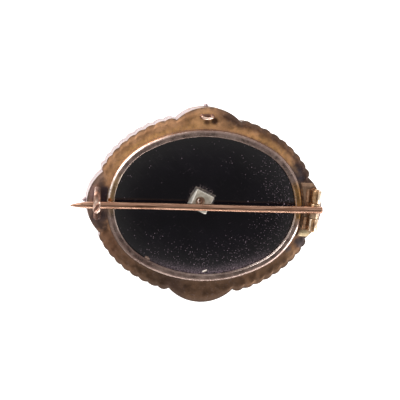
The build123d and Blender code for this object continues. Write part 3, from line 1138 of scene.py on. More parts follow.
    def mark(
        self, v: BMVert, away: float, near: float, dent: float, depth: float, azimuth: float, marks: list
    ) -> None:
        """Marks a vertex's painted highlight, its dirt and painted shade, its painted gold sheen, and its
        tarnishing and painted shade.

        Args:
            v: The vertex.
            away: How far it lies from the collar, in millimetres.
            near: How near it is to the outline, from 0 at the collar to 1.
            dent: How near it is to a notch between two flutes, from 0 to 1.
            depth: How far it lies below the plate's back, in millimetres.
            azimuth: Where it lies round the oval, in degrees.
            marks: The mesh's layers wear_and_highlight, grime_and_shade, golden_sheen and tarnish_and_shade.
        """
        wear_and_highlight, grime_and_shade, golden_sheen, tarnish_and_shade = marks
        # The wall is painted with a highlight on its lit upper left, by the catch and the eye, and with
        # painted shade and darker tarnishing on the other sides and in its notches
        rubbed_and_lit = self.lit_wall.at(azimuth)
        if near > self.wall_from and depth > self.edge_round / 2:
            v[wear_and_highlight] = BRIGHT_ALL_OVER * rubbed_and_lit
            shaded = max(0.55 + self.shade.at(azimuth), 0.92 - 0.25 * depth)
            v[grime_and_shade] = max((1 - rubbed_and_lit) * shaded, 0.35 * dent)
            v[tarnish_and_shade] = 0.8 * (1 - rubbed_and_lit)
            return
        # Painted shade lies along the collar's foot, darkest in the narrow place between it and the hinge's
        # base, and on the plate's rolled edge and in its notches
        beside = max(0.0, away)
        foot = math.exp(-beside / 0.22) * (0.25 if v.co.y > 0 else 0.8)
        if v.co.x > 15.0 and abs(v.co.y) < 4.9:
            foot = math.exp(-((beside / 0.55) ** 4))
        band = max(0.0, (near - 0.60) / 0.30)
        v[grime_and_shade] = 0.92 if near > self.rim_from else max(foot, 0.5 * dent * near, 0.50 * band * band)
        # The flutes are painted darker, most on the upper right, with tarnishing and painted shade, and a
        # painted gold sheen lies on the plate beside the collar
        v[tarnish_and_shade] = eased((near - 0.43) / 0.30) * min(0.9, self.darker_flutes.at(azimuth))
        strip = math.exp(-(((away - 0.45) / 0.45) ** 2))
        v[golden_sheen] = strip * max(azimuth_band.at(azimuth) for azimuth_band in self.sheen_beside_collar)

    def beads(self) -> BMesh:
        """Makes the four beads low on the lobes' tips."""
        bm = bmesh.new()
        grown = self.bead_stand_out - self.bead_radius
        end, side = self.outline.end_tip + grown, self.outline.side_tip + grown
        for x, y in ((-end - 0.2, -0.05), (end, 0), (-0.25, side - 0.08), (0, -side)):
            at = Matrix.Translation((x, y, self.front + self.bead_radius))
            bmesh.ops.create_uvsphere(bm, u_segments=32, v_segments=20, radius=self.bead_radius, matrix=at)
        # The beads are painted pale all over: a painted reflection of the white table
        (wear_and_highlight,) = layers(bm, "wear_and_highlight")
        for v in bm.verts:
            v[wear_and_highlight] = BRIGHT_ALL_OVER
        return bm

    def make(self, gold: Material) -> None:
        """Builds the border and its beads."""
        bm = self.build()
        self.shape_back(bm)
        Piece("border", gold, Body.BROOCH, Slot.OLD_GOLD, "frame", 30).make(bm)
        Piece("lobe_beads", gold, Body.BROOCH, Slot.OLD_GOLD, "frame").make(self.beads())


@dataclass
class Collar:
    """The oval tube that holds the plaque, with its lip on the back and the ridge on the front."""

    opening: FourArcOval = FourArcOval()
    wall: float = 1.2
    top: float = 5.0
    plaque_back: float = 4.2
    plaque_front: float = 2.6
    hold: float = 0.35
    ridge_width: float = 1.9
    ridge_height: float = 0.7
    step: float = 0.11
    vent: tuple[float, float, float, float] = (-16.40, 0.65, 0.24, 0.22)
    quarter: int = 110
    # Painted highlights along the lip's outer and inner edge, and a dirty place beside the catch
    outer_highlights: tuple[AzimuthBand, ...] = (
        AzimuthBand(159, 22, 1.4, 0.28), AzimuthBand(137, 22, 0.9, 0.12), AzimuthBand(-19, 9, 1.6, 0.27), AzimuthBand(-42, 32, 1.1, 0.13),
        AzimuthBand(-106, 50, 0.75, 0.10),
    )
    inner_highlights: tuple[AzimuthBand, ...] = (AzimuthBand(180, 26, 1.2), AzimuthBand(-24, 40, 1.3), AzimuthBand(-85, 40, 0.4))
    dirt: AzimuthBand = AzimuthBand(-168, 22, 0.7, 0.35)

    def section(self) -> list[tuple[float, float]]:
        """The tube's section above the plate: foot, outer wall, top, lip and groove."""
        return [
            (self.wall + 0.10, PLATE_BACK - 0.04),
            (self.wall + 0.04, PLATE_BACK + 0.05),
            (self.wall, PLATE_BACK + 0.16),
            (self.wall - 0.01, self.top),
            (self.step, self.top - 0.02),
            (self.step + 0.01, self.top - 0.36),
            (0.0, self.top - 0.38),
            (0.01, self.plaque_back + 0.03),
            (self.hold, self.plaque_back + 0.03),
            (self.hold, self.plaque_front - 0.03),
            (0.0, self.plaque_front - 0.03),
            (0.0, 0.0),
            (self.ridge_width, 0.0),
            (self.ridge_width, self.ridge_height + 0.02),
            (self.wall, self.ridge_height + 0.3),
            (self.wall - 0.05, PLATE_BACK - 0.3),
        ]

    def build(self) -> BMesh:
        """Sweeps the section, rounds the lip and the ridge, and marks painted highlights, dirt and painted
        shade.
        """
        bm = bmesh.new()
        self.opening.sweep(bm, self.section(), self.quarter)
        bmesh.ops.recalc_face_normals(bm, faces=bm.faces)
        rounding = {self.top: 0.48, self.top - 0.02: 0.09, self.top - 0.38: 0.05, 0.0: 0.42}
        for height, offset in rounding.items():
            edges = [e for e in bm.edges if all(abs(v.co.z - height) < MERGE for v in e.verts)]
            edges = [e for e in edges if len(e.link_faces) == 2 and e.calc_face_angle(0) > math.radians(45)]
            round_corners(bm, edges, offset, 6)
        wear_and_highlight, grime_and_shade = layers(bm, "wear_and_highlight", "grime_and_shade")
        for v in bm.verts:
            away = self.opening.distance(v.co.x, v.co.y)
            if v.co.z > PLATE_BACK + 0.1:
                lift = noise.noise(Vector((v.co.x / 2.3, v.co.y / 2.3, 7.0))) * 0.03
                v.co.z += lift * (v.co.z - PLATE_BACK) / (self.top - PLATE_BACK)
                v.co.xy += v.co.xy.normalized() * noise.noise(Vector((v.co.x / 3, v.co.y / 3, 2.0))) * 0.02
            azimuth = azimuth_of(v)
            outer, inner = self.wall - away, away - self.step
            # Painted highlights on the lip's outer and inner edges, where the lamps catch them
            if v.co.z > PLATE_BACK + 0.3 and outer < 0.42:
                v[wear_and_highlight] = max(azimuth_band.at(azimuth, outer) for azimuth_band in self.outer_highlights)
            elif v.co.z > PLATE_BACK + 0.25 and inner < 0.06:
                upper = 1.0 if v.co.z > self.top - 0.2 else 0.35
                v[wear_and_highlight] = upper * max(azimuth_band.at(azimuth) for azimuth_band in self.inner_highlights)
            # Painted shade at the collar's foot, beside the plate
            v[grime_and_shade] = 0.6 if 3.5 < v.co.z < PLATE_BACK + 0.1 else 0.0
            if v.co.z > PLATE_BACK:
                v[grime_and_shade] = max(v[grime_and_shade], self.dirt.at(azimuth, outer))
            if v.co.z < 0.5:
                v[wear_and_highlight] = 0.8
        return bm

    def drill(self, bm: BMesh) -> BMesh:
        """Drills the shallow vent beside the catch."""
        cutter = bmesh.new()
        x, y, radius, depth = self.vent
        lathe(cutter, rod(radius, 4), Vector((x, y, self.top - depth)), Z_AXIS, 32)
        return carve(bm, cutter)

    def make(self, gold: Material) -> None:
        """Builds the collar."""
        Piece("collar", gold, Body.BROOCH, Slot.OLD_GOLD, "frame", 34).make(self.drill(self.build()))


@dataclass
class Catch:
    """The C catch: a flat strip bent over, with a dished lip, which leans a little outwards."""

    x: float = -18.2
    lean: float = 7.0
    strip: float = 0.42
    foot_z: float = 4.07
    top_z: float = 7.33
    back_y: float = 3.0
    back_width: float = 0.95
    lip_width: float = 1.30
    foot_end_y: float = -3.0
    lip_end_y: float = -1.3
    end_round: float = 0.66
    crown: float = 0.20
    dish_radius: float = 0.42
    dish_depth: float = 0.20
    dish_slant: float = 27.0
    root: float = 0.45

    @property
    def bend(self) -> float:
        """Radius of the bend."""
        return (self.top_z - self.foot_z) / 2

    @property
    def bend_y(self) -> float:
        """Where the bend's middle lies across the brooch."""
        return self.back_y - self.bend

    @property
    def length(self) -> float:
        """The strip's length."""
        return self.bend_y - self.foot_end_y + math.pi * self.bend + self.bend_y - self.lip_end_y

    def path(self, s: float) -> tuple[float, float, float, float]:
        """The outer face at a distance along the strip from its foot: y, z and the normal's y and z."""
        foot = self.bend_y - self.foot_end_y
        arc = math.pi * self.bend
        if s < foot:
            return self.foot_end_y + s, self.foot_z, 0.0, -1.0
        if s < foot + arc:
            turn = (s - foot) / self.bend
            y, z = math.sin(turn), -math.cos(turn)
            return self.bend_y + self.bend * y, self.foot_z + self.bend * (1 + z), y, z
        return self.bend_y - (s - foot - arc), self.top_z, 0.0, 1.0

    def half_width(self, y: float) -> float:
        """Half the strip's width at a place across the brooch, as it widens towards its lip."""
        share = clamped((self.back_y - y) / (self.back_y - self.lip_end_y))
        return (self.back_width + (self.lip_width - self.back_width) * share) / 2

    def leant(self, z: float) -> float:
        """How far the strip has leant outwards at a height, from its root under the plate's back."""
        return (z - PLATE_BACK + self.root) * math.tan(math.radians(self.lean))

    def build(self) -> BMesh:
        """Bends a grid along the path, thickens it, rounds its edges and dishes the lip."""
        bm = bmesh.new()
        bmesh.ops.create_grid(bm, x_segments=20, y_segments=110, size=0.5)
        for v in bm.verts:
            s = (v.co.y + 0.5) * self.length
            y, z, normal_y, normal_z = self.path(s)
            half = self.half_width(y)
            from_end = min(s, self.length - s)
            if from_end < self.end_round:
                half *= math.sqrt(max(0.08, 1 - (1 - from_end / self.end_round) ** 2))
            # The strip is filed round, so that its middle stands higher than its edges
            fall = self.crown * (2 * v.co.x) ** 2
            x = self.x + 2 * v.co.x * half - self.leant(z)
            v.co = Vector((x, y - normal_y * fall, z - normal_z * fall))
        bmesh.ops.recalc_face_normals(bm, faces=bm.faces)
        top = max(bm.faces, key=lambda f: f.calc_center_median().z)
        if top.normal.z < 0:
            bmesh.ops.reverse_faces(bm, faces=bm.faces)
        bmesh.ops.solidify(bm, geom=bm.faces[:], thickness=self.strip)
        bmesh.ops.recalc_face_normals(bm, faces=bm.faces)
        round_corners(bm, sharp_edges(bm, 50), 0.08)
        self.dish(bm)
        bmesh.ops.dissolve_degenerate(bm, edges=bm.edges, dist=SEAM)
        return bm

    def dish(self, bm: BMesh) -> None:
        """Sinks the dish in the lip, and marks the strip's painted highlights and painted shade."""
        wear_and_highlight, grime_and_shade = layers(bm, "wear_and_highlight", "grime_and_shade")
        hollow = Vector((self.x - self.leant(self.top_z), self.lip_end_y + 0.95))
        slant = Matrix.Rotation(math.radians(self.dish_slant), 2)
        for v in bm.verts:
            side = (v.co.x - self.x + self.leant(v.co.z)) / self.half_width(v.co.y)
            if v.co.z < PLATE_BACK + 0.30:
                # The foot, under the bend, gets painted shade but for its rim
                v[grime_and_shade] = 0.15 if abs(side) > 0.85 else 0.8
                continue
            # The strip gets painted highlights on its outer side, where it turns down to the lip and at the
            # lip's rim, and painted shade over the rest of the bend, darkest on its right side
            turned = math.exp(-(((v.co.y - 0.75) / 0.55) ** 2) - ((side + 0.25) / 0.45) ** 2)
            on_lip = v.co.z > self.top_z - 0.5 and v.co.y < self.lip_end_y + 1.9
            at_rim = abs(side) > 0.50 or v.co.y < self.lip_end_y + 0.4
            rim = 1.0 if on_lip and at_rim else max(0.0, -side - 0.45)
            v[wear_and_highlight] = max(rim, 1.2 * turned)
            v[grime_and_shade] = 0.0 if on_lip else max(0.55, min(0.95, (side + 0.25) * 1.6)) * (1 - turned)
            if v.co.z > self.top_z - 0.30:
                # Along its slant the dish is a little over twice as long as it is wide
                away = slant @ (v.co.xy - hollow)
                sunk = max(0.0, 1 - Vector((away.x, away.y * 0.46)).length_squared / self.dish_radius**2)
                v.co.z -= self.dish_depth * eased(sunk * 1.4)
                # In the dish the painted highlight gives way to a little painted shade
                v[wear_and_highlight] = max(0.0, v[wear_and_highlight] - sunk * 3.0)
                v[grime_and_shade] = min(0.25, sunk)

    def solder(self) -> BMesh:
        """A low puddle of solder under the strip's foot."""
        bm = bmesh.new()
        blob(bm, (self.x, -0.6, PLATE_BACK - 0.02), (0.62, 2.2, 0.12), detail=5)
        roughen(bm, 0.08, 0.7, 3.0)
        (grime_and_shade,) = layers(bm, "grime_and_shade")
        for v in bm.verts:
            v[grime_and_shade] = 0.6
        return bm

    def make(self, gold: Material, solder: Material) -> None:
        """Builds the catch and its solder."""
        Piece("catch", gold, Body.BROOCH, Slot.OLD_GOLD, "frame", 50).make(self.build())
        Piece("catch_solder", solder, Body.BROOCH, Slot.OLD_GOLD, "frame").make(self.solder())


@dataclass
class ChainEye:
    """The small wire loop for a safety chain, which leans over from its two feet."""

    x: float = -0.35
    y: float = 15.2
    wire: float = 0.29
    bend: float = 0.86
    leg: float = 0.30
    sunk: float = 0.22
    lean: float = 33.0
    flatten: float = 0.54

    def build(self) -> BMesh:
        """Bends a round wire into a loop, tips it over and sets solder at its feet."""
        bm = bmesh.new()
        at = Matrix.Translation((-self.bend, 0, -self.sunk))
        made = bmesh.ops.create_circle(bm, segments=24, radius=self.wire, matrix=at)
        rise = Vector((0, 0, self.sunk + self.leg))
        verts, ring = extrude_ring(bm, {e for v in made["verts"] for e in v.link_edges})
        bmesh.ops.translate(bm, verts=verts, vec=rise)
        last = spin_on(bm, verts + ring, (0, 0, self.leg), math.pi, 24, (0, 1, 0))
        verts, _ = extrude_ring(bm, only(BMEdge, last))
        bmesh.ops.translate(bm, verts=verts, vec=-rise)
        bmesh.ops.holes_fill(bm, edges=[e for e in bm.edges if e.is_boundary])
        roughen(bm, 0.03, 0.5, 9.0)
        bmesh.ops.scale(bm, verts=bm.verts, vec=(1, 1, self.flatten))
        tipped = Matrix.Rotation(math.radians(self.lean), 4, "X")
        at = Matrix.Translation((self.x, self.y, PLATE_BACK))
        bmesh.ops.transform(bm, matrix=at @ tipped, verts=bm.verts)
        for side in (-1, 1):
            blob(bm, (self.x + side * self.bend, self.y - 0.03, PLATE_BACK), (0.40, 0.44, 0.22))
        blob(bm, (self.x, self.y + 0.10, PLATE_BACK - 0.02), (1.0, 0.30, 0.09))
        wear_and_highlight, grime_and_shade = layers(bm, "wear_and_highlight", "grime_and_shade")
        # The raised crown gets a painted highlight, and the wire low by the plate painted shade
        for v in bm.verts:
            v[wear_and_highlight] = clamped((v.co.z - PLATE_BACK - 0.25) / 0.4)
            v[grime_and_shade] = min(0.4, clamped((PLATE_BACK + 0.18 - v.co.z) / 0.2))
        return bm

    def make(self, gold: Material) -> None:
        """Builds the eye."""
        Piece("chain_eye", gold, Body.BROOCH, Slot.OLD_GOLD, "frame").make(self.build())


@dataclass
class BarrelHinge:
    """The hinge: its base plate, two outer knuckles, their solder, and the rivet."""

    outline: FlutedOutline = FlutedOutline()
    opening: FourArcOval = FourArcOval()
    x: float = 18.65
    y: float = -0.2
    turn: float = 4.0
    axis_height: float = 1.3
    radius: float = 0.85
    bore: float = 0.38
    pin_knuckle: float = 2.5
    outer_knuckle: float = 2.2
    gap: float = 0.05
    base_thickness: float = 0.5
    base_length: float = 9.2
    base_margin: float = 0.14
    collar_gap: float = 0.42
    end_round: float = 0.85
    collar_wall: float = 1.2
    rivet: float = 0.35
    rivet_head: float = 0.5
    rivet_head_height: float = 0.16

    @property
    def middle(self) -> Vector:
        """The middle of the hinge's axis."""
        return Vector((self.x, self.y, PLATE_BACK + self.axis_height))

    @property
    def axis(self) -> Vector:
        """The direction of the hinge's axis."""
        angle = math.radians(self.turn)
        return Vector((math.sin(angle), math.cos(angle), 0))

    @property
    def across(self) -> Vector:
        """The direction away from the collar, square to the axis."""
        return Vector((self.axis.y, -self.axis.x, 0))

    def knuckle_profile(self, length: float, bore: float) -> list[tuple[float, float]]:
        """A tube's section with rounded outer corners, from its middle."""
        half, soft = length / 2, 0.10
        return [
            (-half + 0.02, bore + 0.03), (-half, bore + 0.06), (-half, self.radius - soft),
            (-half + 0.03, self.radius - 0.03), (-half + soft, self.radius), (half - soft, self.radius),
            (half - 0.03, self.radius - 0.03), (half, self.radius - soft), (half, bore + 0.06),
            (half - 0.02, bore + 0.03), (half - 0.06, bore), (-half + 0.06, bore),
        ]

    def knuckles(self) -> BMesh:
        """Makes the two outer knuckles."""
        bm = bmesh.new()
        shift = self.pin_knuckle / 2 + self.gap + self.outer_knuckle / 2
        for side in (1, -1):
            centre = self.middle + self.axis * shift * side
            lathe(bm, self.knuckle_profile(self.outer_knuckle, self.bore), centre, self.axis, 64, closed=True)
        wear_and_highlight, grime_and_shade = layers(bm, "wear_and_highlight", "grime_and_shade")
        across = self.across
        for v in bm.verts:
            away = v.co - self.middle
            lean = math.degrees(math.atan2(away.dot(across), away.z))
            lower = away.dot(self.axis) < 0
            # Painted highlights: a band on the outer side, and on the lower knuckle a line on the inner side;
            # painted shade low down by the base
            v[wear_and_highlight] = max(0.0, 1 - abs(lean - 36) / 26) ** 0.5
            if lower:
                v[wear_and_highlight] = max(v[wear_and_highlight], max(0.0, 1 - abs(lean + 42) / 12) ** 0.5)
            v[grime_and_shade] = min(0.7, clamped((PLATE_BACK + 0.75 - v.co.z) / 0.4))
        return bm

    def base(self) -> BMesh:
        """Makes the base plate from a grid between the collar and the lobe's edge, slotted for the pin."""
        bm = bmesh.new()
        bmesh.ops.create_grid(bm, x_segments=16, y_segments=92, size=0.5)
        centre_x = self.outline.end_tip - self.outline.end_radius
        rim = self.outline.end_radius - self.base_margin
        for v in bm.verts:
            y = self.y + v.co.y * self.base_length
            outer = centre_x + math.sqrt(rim * rim - y * y)
            inner = self._collar_edge(y)
            v.co = Vector((inner + (v.co.x + 0.5) * (outer - inner), y, PLATE_BACK - 0.05))
        slot_half = self.pin_knuckle / 2 + self.gap
        across = self.across
        middle = self.middle.xy.to_3d()
        slot = [
            f for f in bm.faces
            if abs((f.calc_center_median().xy.to_3d() - middle).dot(self.axis)) < slot_half
            and (f.calc_center_median().xy.to_3d() - middle).dot(across) > -self.radius - self.gap
        ]
        bmesh.ops.delete(bm, geom=slot, context="FACES")
        raise_faces(bm, bm.faces, (0, 0, self.base_thickness + 0.05))
        bmesh.ops.recalc_face_normals(bm, faces=bm.faces)
        corners = [e for e in sharp_edges(bm, 60) if rise_of(e) > 0.3]
        ends = [e for e in corners if abs(e.verts[0].co.y - self.y) > self.base_length / 2 - 0.1]
        round_corners(bm, ends, self.end_round, 8)
        level = PLATE_BACK + self.base_thickness
        rims = [e for e in sharp_edges(bm, 40) if all(v.co.z > level - 0.01 for v in e.verts)]
        round_corners(bm, rims, 0.14, 3)
        wear_and_highlight, grime_and_shade = layers(bm, "wear_and_highlight", "grime_and_shade")
        for v in bm.verts:
            # The plate was hammered over at its ends, so it falls a little there
            end = max(0.0, (abs(v.co.y - self.y) - self.base_length / 2 + 0.8) / 0.8)
            if v.co.z > PLATE_BACK + 0.1:
                v.co.z -= 0.16 * end * end
            v[wear_and_highlight] = 0.8 if level - 0.2 < v.co.z < level - 0.01 and v.co.x > self.x else 0.1
            # Painted shade along the base's foot, by the plate
            v[grime_and_shade] = 0.8 if v.co.z < PLATE_BACK + 0.1 else 0.0
        return bm

    def _collar_edge(self, y: float) -> float:
        """Where the base starts beside the collar, at a place across the brooch."""
        reach = self.opening.half_length - self.opening.end_radius
        radius = self.opening.end_radius + self.collar_wall + self.collar_gap
        return reach + math.sqrt(radius * radius - y * y)

    def saddles(self) -> BMesh:
        """Makes the solder that runs up from the base to the outer knuckles, on the collar's side."""
        bm = bmesh.new()
        across = self.across
        shift = self.pin_knuckle / 2 + self.gap
        base = self.base_thickness - 0.04
        for side in (1, -1):
            section = [
                (-0.1, base), (-1.62, base), (-1.52, base + 0.16), (-1.34, base + 0.30), (-1.12, base + 0.36),
                (-0.92, base + 0.33), (-0.76, base + 0.22), (-0.3, base + 0.22),
            ]
            start = self.middle.xy.to_3d() + self.axis * (shift + 0.03) * side
            loop = chain(bm, [start + across * p + Z_AXIS * (PLATE_BACK + h) for p, h in section], True)
            cap = bmesh.ops.contextual_create(bm, geom=only(BMEdge, loop))["faces"]
            raise_faces(bm, cap, self.axis * (self.outer_knuckle - 0.06) * side)
        long_edges = [e for e in bm.edges if e.calc_length() > 1.5]
        bmesh.ops.subdivide_edges(bm, edges=long_edges, cuts=14, use_grid_fill=True)
        bmesh.ops.recalc_face_normals(bm, faces=bm.faces)
        roughen(bm, 0.08, 0.8, 5.0)
        (grime_and_shade,) = layers(bm, "grime_and_shade")
        # Painted shade on the solder under the knuckles
        for v in bm.verts:
            v[grime_and_shade] = 0.9 if (v.co - self.middle).dot(across) > -0.84 else 0.0
        return bm

    def rivet_mesh(self) -> BMesh:
        """Makes the rivet with its two low domed heads."""
        bm = bmesh.new()
        end = self.pin_knuckle / 2 + self.gap + self.outer_knuckle + 0.03
        top = end + self.rivet_head_height
        half = [
            (0.0, self.rivet), (end - 0.02, self.rivet), (end, self.rivet_head),
            (end + 0.03, self.rivet_head), (top - 0.06, self.rivet_head - 0.07),
            (top - 0.015, self.rivet_head - 0.2), (top, 0.12), (top, 0.0),
        ]
        profile = [(-a, r) for a, r in reversed(half)] + half[1:]
        lathe(bm, profile, self.middle, self.axis, 48)
        return bm

    def make(self, gold: Material, base_gold: Material, solder: Material) -> None:
        """Builds the base, the knuckles, the solder and the rivet."""
        Piece("hinge_base", base_gold, Body.BROOCH, Slot.HINGE_GOLD, "frame", 40).make(self.base())
        Piece("hinge_knuckles", gold, Body.BROOCH, Slot.HINGE_GOLD, "frame", 50).make(self.knuckles())
        Piece("hinge_solder", solder, Body.BROOCH, Slot.HINGE_GOLD, "frame", 60).make(self.saddles())
        Piece("rivet", gold, Body.BROOCH, Slot.HINGE_GOLD, "hinge_rivet", 50).make(self.rivet_mesh())


@dataclass
class Plaque:
    """The black enamel plaque, with softly rounded edges under the collar's lip."""

    opening: FourArcOval = FourArcOval()
    hold: float = 0.3
    front: float = 2.6
    back: float = 4.2

    def build(self) -> BMesh:
        """Makes the slab from the oval's outline and rounds its edges."""
        bm = bmesh.new()
        self.opening.sweep(bm, [(self.hold, self.front)], 110, closed=False)
        face = bmesh.ops.contextual_create(bm, geom=bm.edges[:])["faces"]
        raise_faces(bm, face, (0, 0, self.back - self.front))
        bmesh.ops.recalc_face_normals(bm, faces=bm.faces)
        round_corners(bm, sharp_edges(bm, 60), 0.15, 3)
        return bm

    def crumb(self, x: float, y: float, size: Sequence[float], turn: float) -> BMesh:
        """Makes a crumb that sticks to the plaque at the collar's lip."""
        bm = bmesh.new()
        blob(bm, (x, y, self.back + 0.05), size, turn)
        roughen(bm, 0.12, 0.25, x)
        return bm

    def make(self, enamel: Material, plaster: Material, cement: Material) -> None:
        """Builds the plaque, a white chip and a tab of old cement at its edge."""
        Piece("plaque", enamel, Body.BROOCH, Slot.BLACK_ENAMEL, "enamel_plaque", 40).make(self.build())
        chip = self.crumb(0.55, -11.25, (0.40, 0.13, 0.16), 24.0)
        Piece("plaster_chip", plaster, Body.BROOCH, Slot.BLACK_ENAMEL, "enamel_plaque", 60).make(chip)
        tab = self.crumb(-9.35, -9.30, (0.50, 0.26, 0.20), -28.0)
        Piece("cement_tab", cement, Body.BROOCH, Slot.BLACK_ENAMEL, "enamel_plaque", 60).make(tab)


@dataclass
class Fastening:
    """The square nut, the post through the plaque and the plain boss on the front."""

    post_x: float = -0.98
    post_y: float = 0.85
    post_radius: float = 0.48
    nut_x: float = -0.76
    nut_y: float = 0.8
    side: float = 3.25
    turn: float = -25.0
    seat: float = 4.23
    thickness: float = 1.1
    dish_radius: float = 0.85
    dish_depth: float = 0.25
    boss_radius: float = 3.0
    boss_seat: float = 2.57

    @property
    def top(self) -> float:
        """The nut's top."""
        return self.seat + self.thickness

    @property
    def turned(self) -> Matrix:
        """The nut's turn about the vertical."""
        return Matrix.Rotation(math.radians(self.turn), 4, "Z")

    def from_post(self, v: BMVert) -> float:
        """How far a vertex lies from the post's middle."""
        return Vector((v.co.x - self.post_x, v.co.y - self.post_y)).length

    def nut(self) -> BMesh:
        """Files a block square, bevels its top and sinks a dish and a hole in it."""
        bm = bmesh.new()
        size = Matrix.Diagonal((self.side, self.side, self.thickness, 1))
        at = Matrix.Translation((self.nut_x, self.nut_y, self.seat + self.thickness / 2))
        bmesh.ops.create_cube(bm, size=1.0, matrix=at @ self.turned @ size)
        # Its left side was filed to a slope
        across, along = self.turned @ Vector((1, 0, 0)), self.turned @ Vector((0, 1, 0))
        for v in bm.verts:
            away = v.co - Vector((self.nut_x, self.nut_y, v.co.z))
            if away.dot(across) < 0 and away.dot(along) < 0:
                v.co += across * (0.24 if v.co.z > self.top - 0.01 else -0.20)
        round_corners(bm, [e for e in bm.edges if rise_of(e) > 0.5], 0.16)
        rims = [e for e in sharp_edges(bm, 60) if all(v.co.z > self.top - 0.01 for v in e.verts)]
        round_corners(bm, rims, 0.2, 2)
        ball_radius = (self.dish_radius**2 + self.dish_depth**2) / (2 * self.dish_depth)
        ball = bmesh.new()
        centre = Matrix.Translation((self.post_x, self.post_y, self.top + ball_radius - self.dish_depth))
        bmesh.ops.create_uvsphere(ball, u_segments=96, v_segments=96, radius=ball_radius, matrix=centre)
        bm = carve(bm, ball)
        hole = bmesh.new()
        start = Vector((self.post_x, self.post_y, self.seat - 0.5))
        lathe(hole, rod(self.post_radius + 0.008, 3), start, Z_AXIS, 48)
        bm = carve(bm, hole)
        wear_and_highlight, grime_and_shade = layers(bm, "wear_and_highlight", "grime_and_shade")
        for v in bm.verts:
            away = self.from_post(v)
            v[wear_and_highlight] = 1.0 if self.top - 0.25 < v.co.z < self.top - 0.004 and away > 1.2 else 0.0
            v[grime_and_shade] = min(0.95, max(0.0, (0.98 - away) / 0.25)) if v.co.z < self.top - 0.01 else 0.0
        return bm

    def cement(self) -> BMesh:
        """A thin uneven skirt of old cement between the nut's foot and the plaque."""
        bm = bmesh.new()
        at = Matrix.Translation((self.nut_x, self.nut_y, self.seat + 0.02))
        half = self.side / 2 - 0.05
        bmesh.ops.create_grid(bm, x_segments=1, y_segments=1, size=half, matrix=at @ self.turned)
        bmesh.ops.subdivide_edges(bm, edges=bm.edges[:], cuts=27, use_grid_fill=True)
        rim = [e for e in bm.edges if e.is_boundary]
        middle = Vector((self.nut_x, self.nut_y, 0))
        for grow, drop in ((0.07, 0.06), (0.09, -0.02), (0.12, -0.03), (0.14, -0.04)):
            verts, rim = extrude_ring(bm, rim)
            for v in verts:
                outward = (v.co - middle).xy.normalized()
                ragged = noise.noise(Vector((outward.x * 3.1, outward.y * 3.1, grow * 20)))
                upper = 0.5 + 0.5 * outward.y
                v.co.xy += outward * grow * (0.75 + 1.1 * ragged + 0.45 * upper)
                v.co.z += drop * (0.7 + 0.6 * upper) * (1 + ragged)
        for edge in rim:
            for v in edge.verts:
                v.co.z = self.seat - 0.05
        bmesh.ops.holes_fill(bm, edges=rim)
        roughen(bm, 0.05, 0.22, 11.0)
        return bm

    def post(self) -> BMesh:
        """Turns the post with its crater, and the boss with its rim and dome."""
        bm = bmesh.new()
        end = self.top + 0.12 - self.dish_depth
        crater = [
            (end - 0.10, 0.0), (end - 0.09, 0.12), (end - 0.05, 0.22), (end - 0.01, 0.30), (end, 0.36),
            (end - 0.01, 0.41), (end - 0.04, 0.46), (end - 0.10, self.post_radius),
            (self.boss_seat - 0.1, self.post_radius), (self.boss_seat - 0.1, 0.0),
        ]
        lathe(bm, crater, Vector((self.post_x, self.post_y, 0)), Z_AXIS, 48)
        z, r = self.boss_seat, self.boss_radius
        dome = [
            (z, 0.0), (z, r - 0.05), (z - 0.05, r), (z - 0.35, r), (z - 0.40, r - 0.05), (z - 0.40, r - 0.33),
            (z - 0.55, r - 0.36), (z - 0.78, r - 0.42), (z - 1.02, r - 0.56), (z - 1.24, r - 0.80),
            (z - 1.40, r - 1.12), (z - 1.48, r - 1.5), (z - 1.5, 0.0),
        ]
        lathe(bm, dome, Vector((0, 0, 0)), Z_AXIS, 96)
        wear_and_highlight, grime_and_shade = layers(bm, "wear_and_highlight", "grime_and_shade")
        for v in bm.verts:
            away = self.from_post(v)
            # A painted highlight on the left of the post's end, and painted shade in its crater
            v[wear_and_highlight] = 1.0 if v.co.z > end - 0.06 and away > 0.24 and v.co.x < self.post_x - 0.12 else 0.0
            v[grime_and_shade] = 0.5 if v.co.z > end - 0.25 and away < 0.2 else 0.0
        return bm

    def make(self, metal: Material, gold: Material, cement: Material) -> None:
        """Builds the nut, its cement, and the post with its boss."""
        Piece("nut", metal, Body.BROOCH, Slot.WHITE_METAL, "square_nut", 25).make(self.nut())
        Piece("nut_cement", cement, Body.BROOCH, Slot.WHITE_METAL, "square_nut", 60).make(self.cement())
        Piece("post_and_boss", gold, Body.BROOCH, Slot.OLD_GOLD, "centre_post", 45).make(self.post())


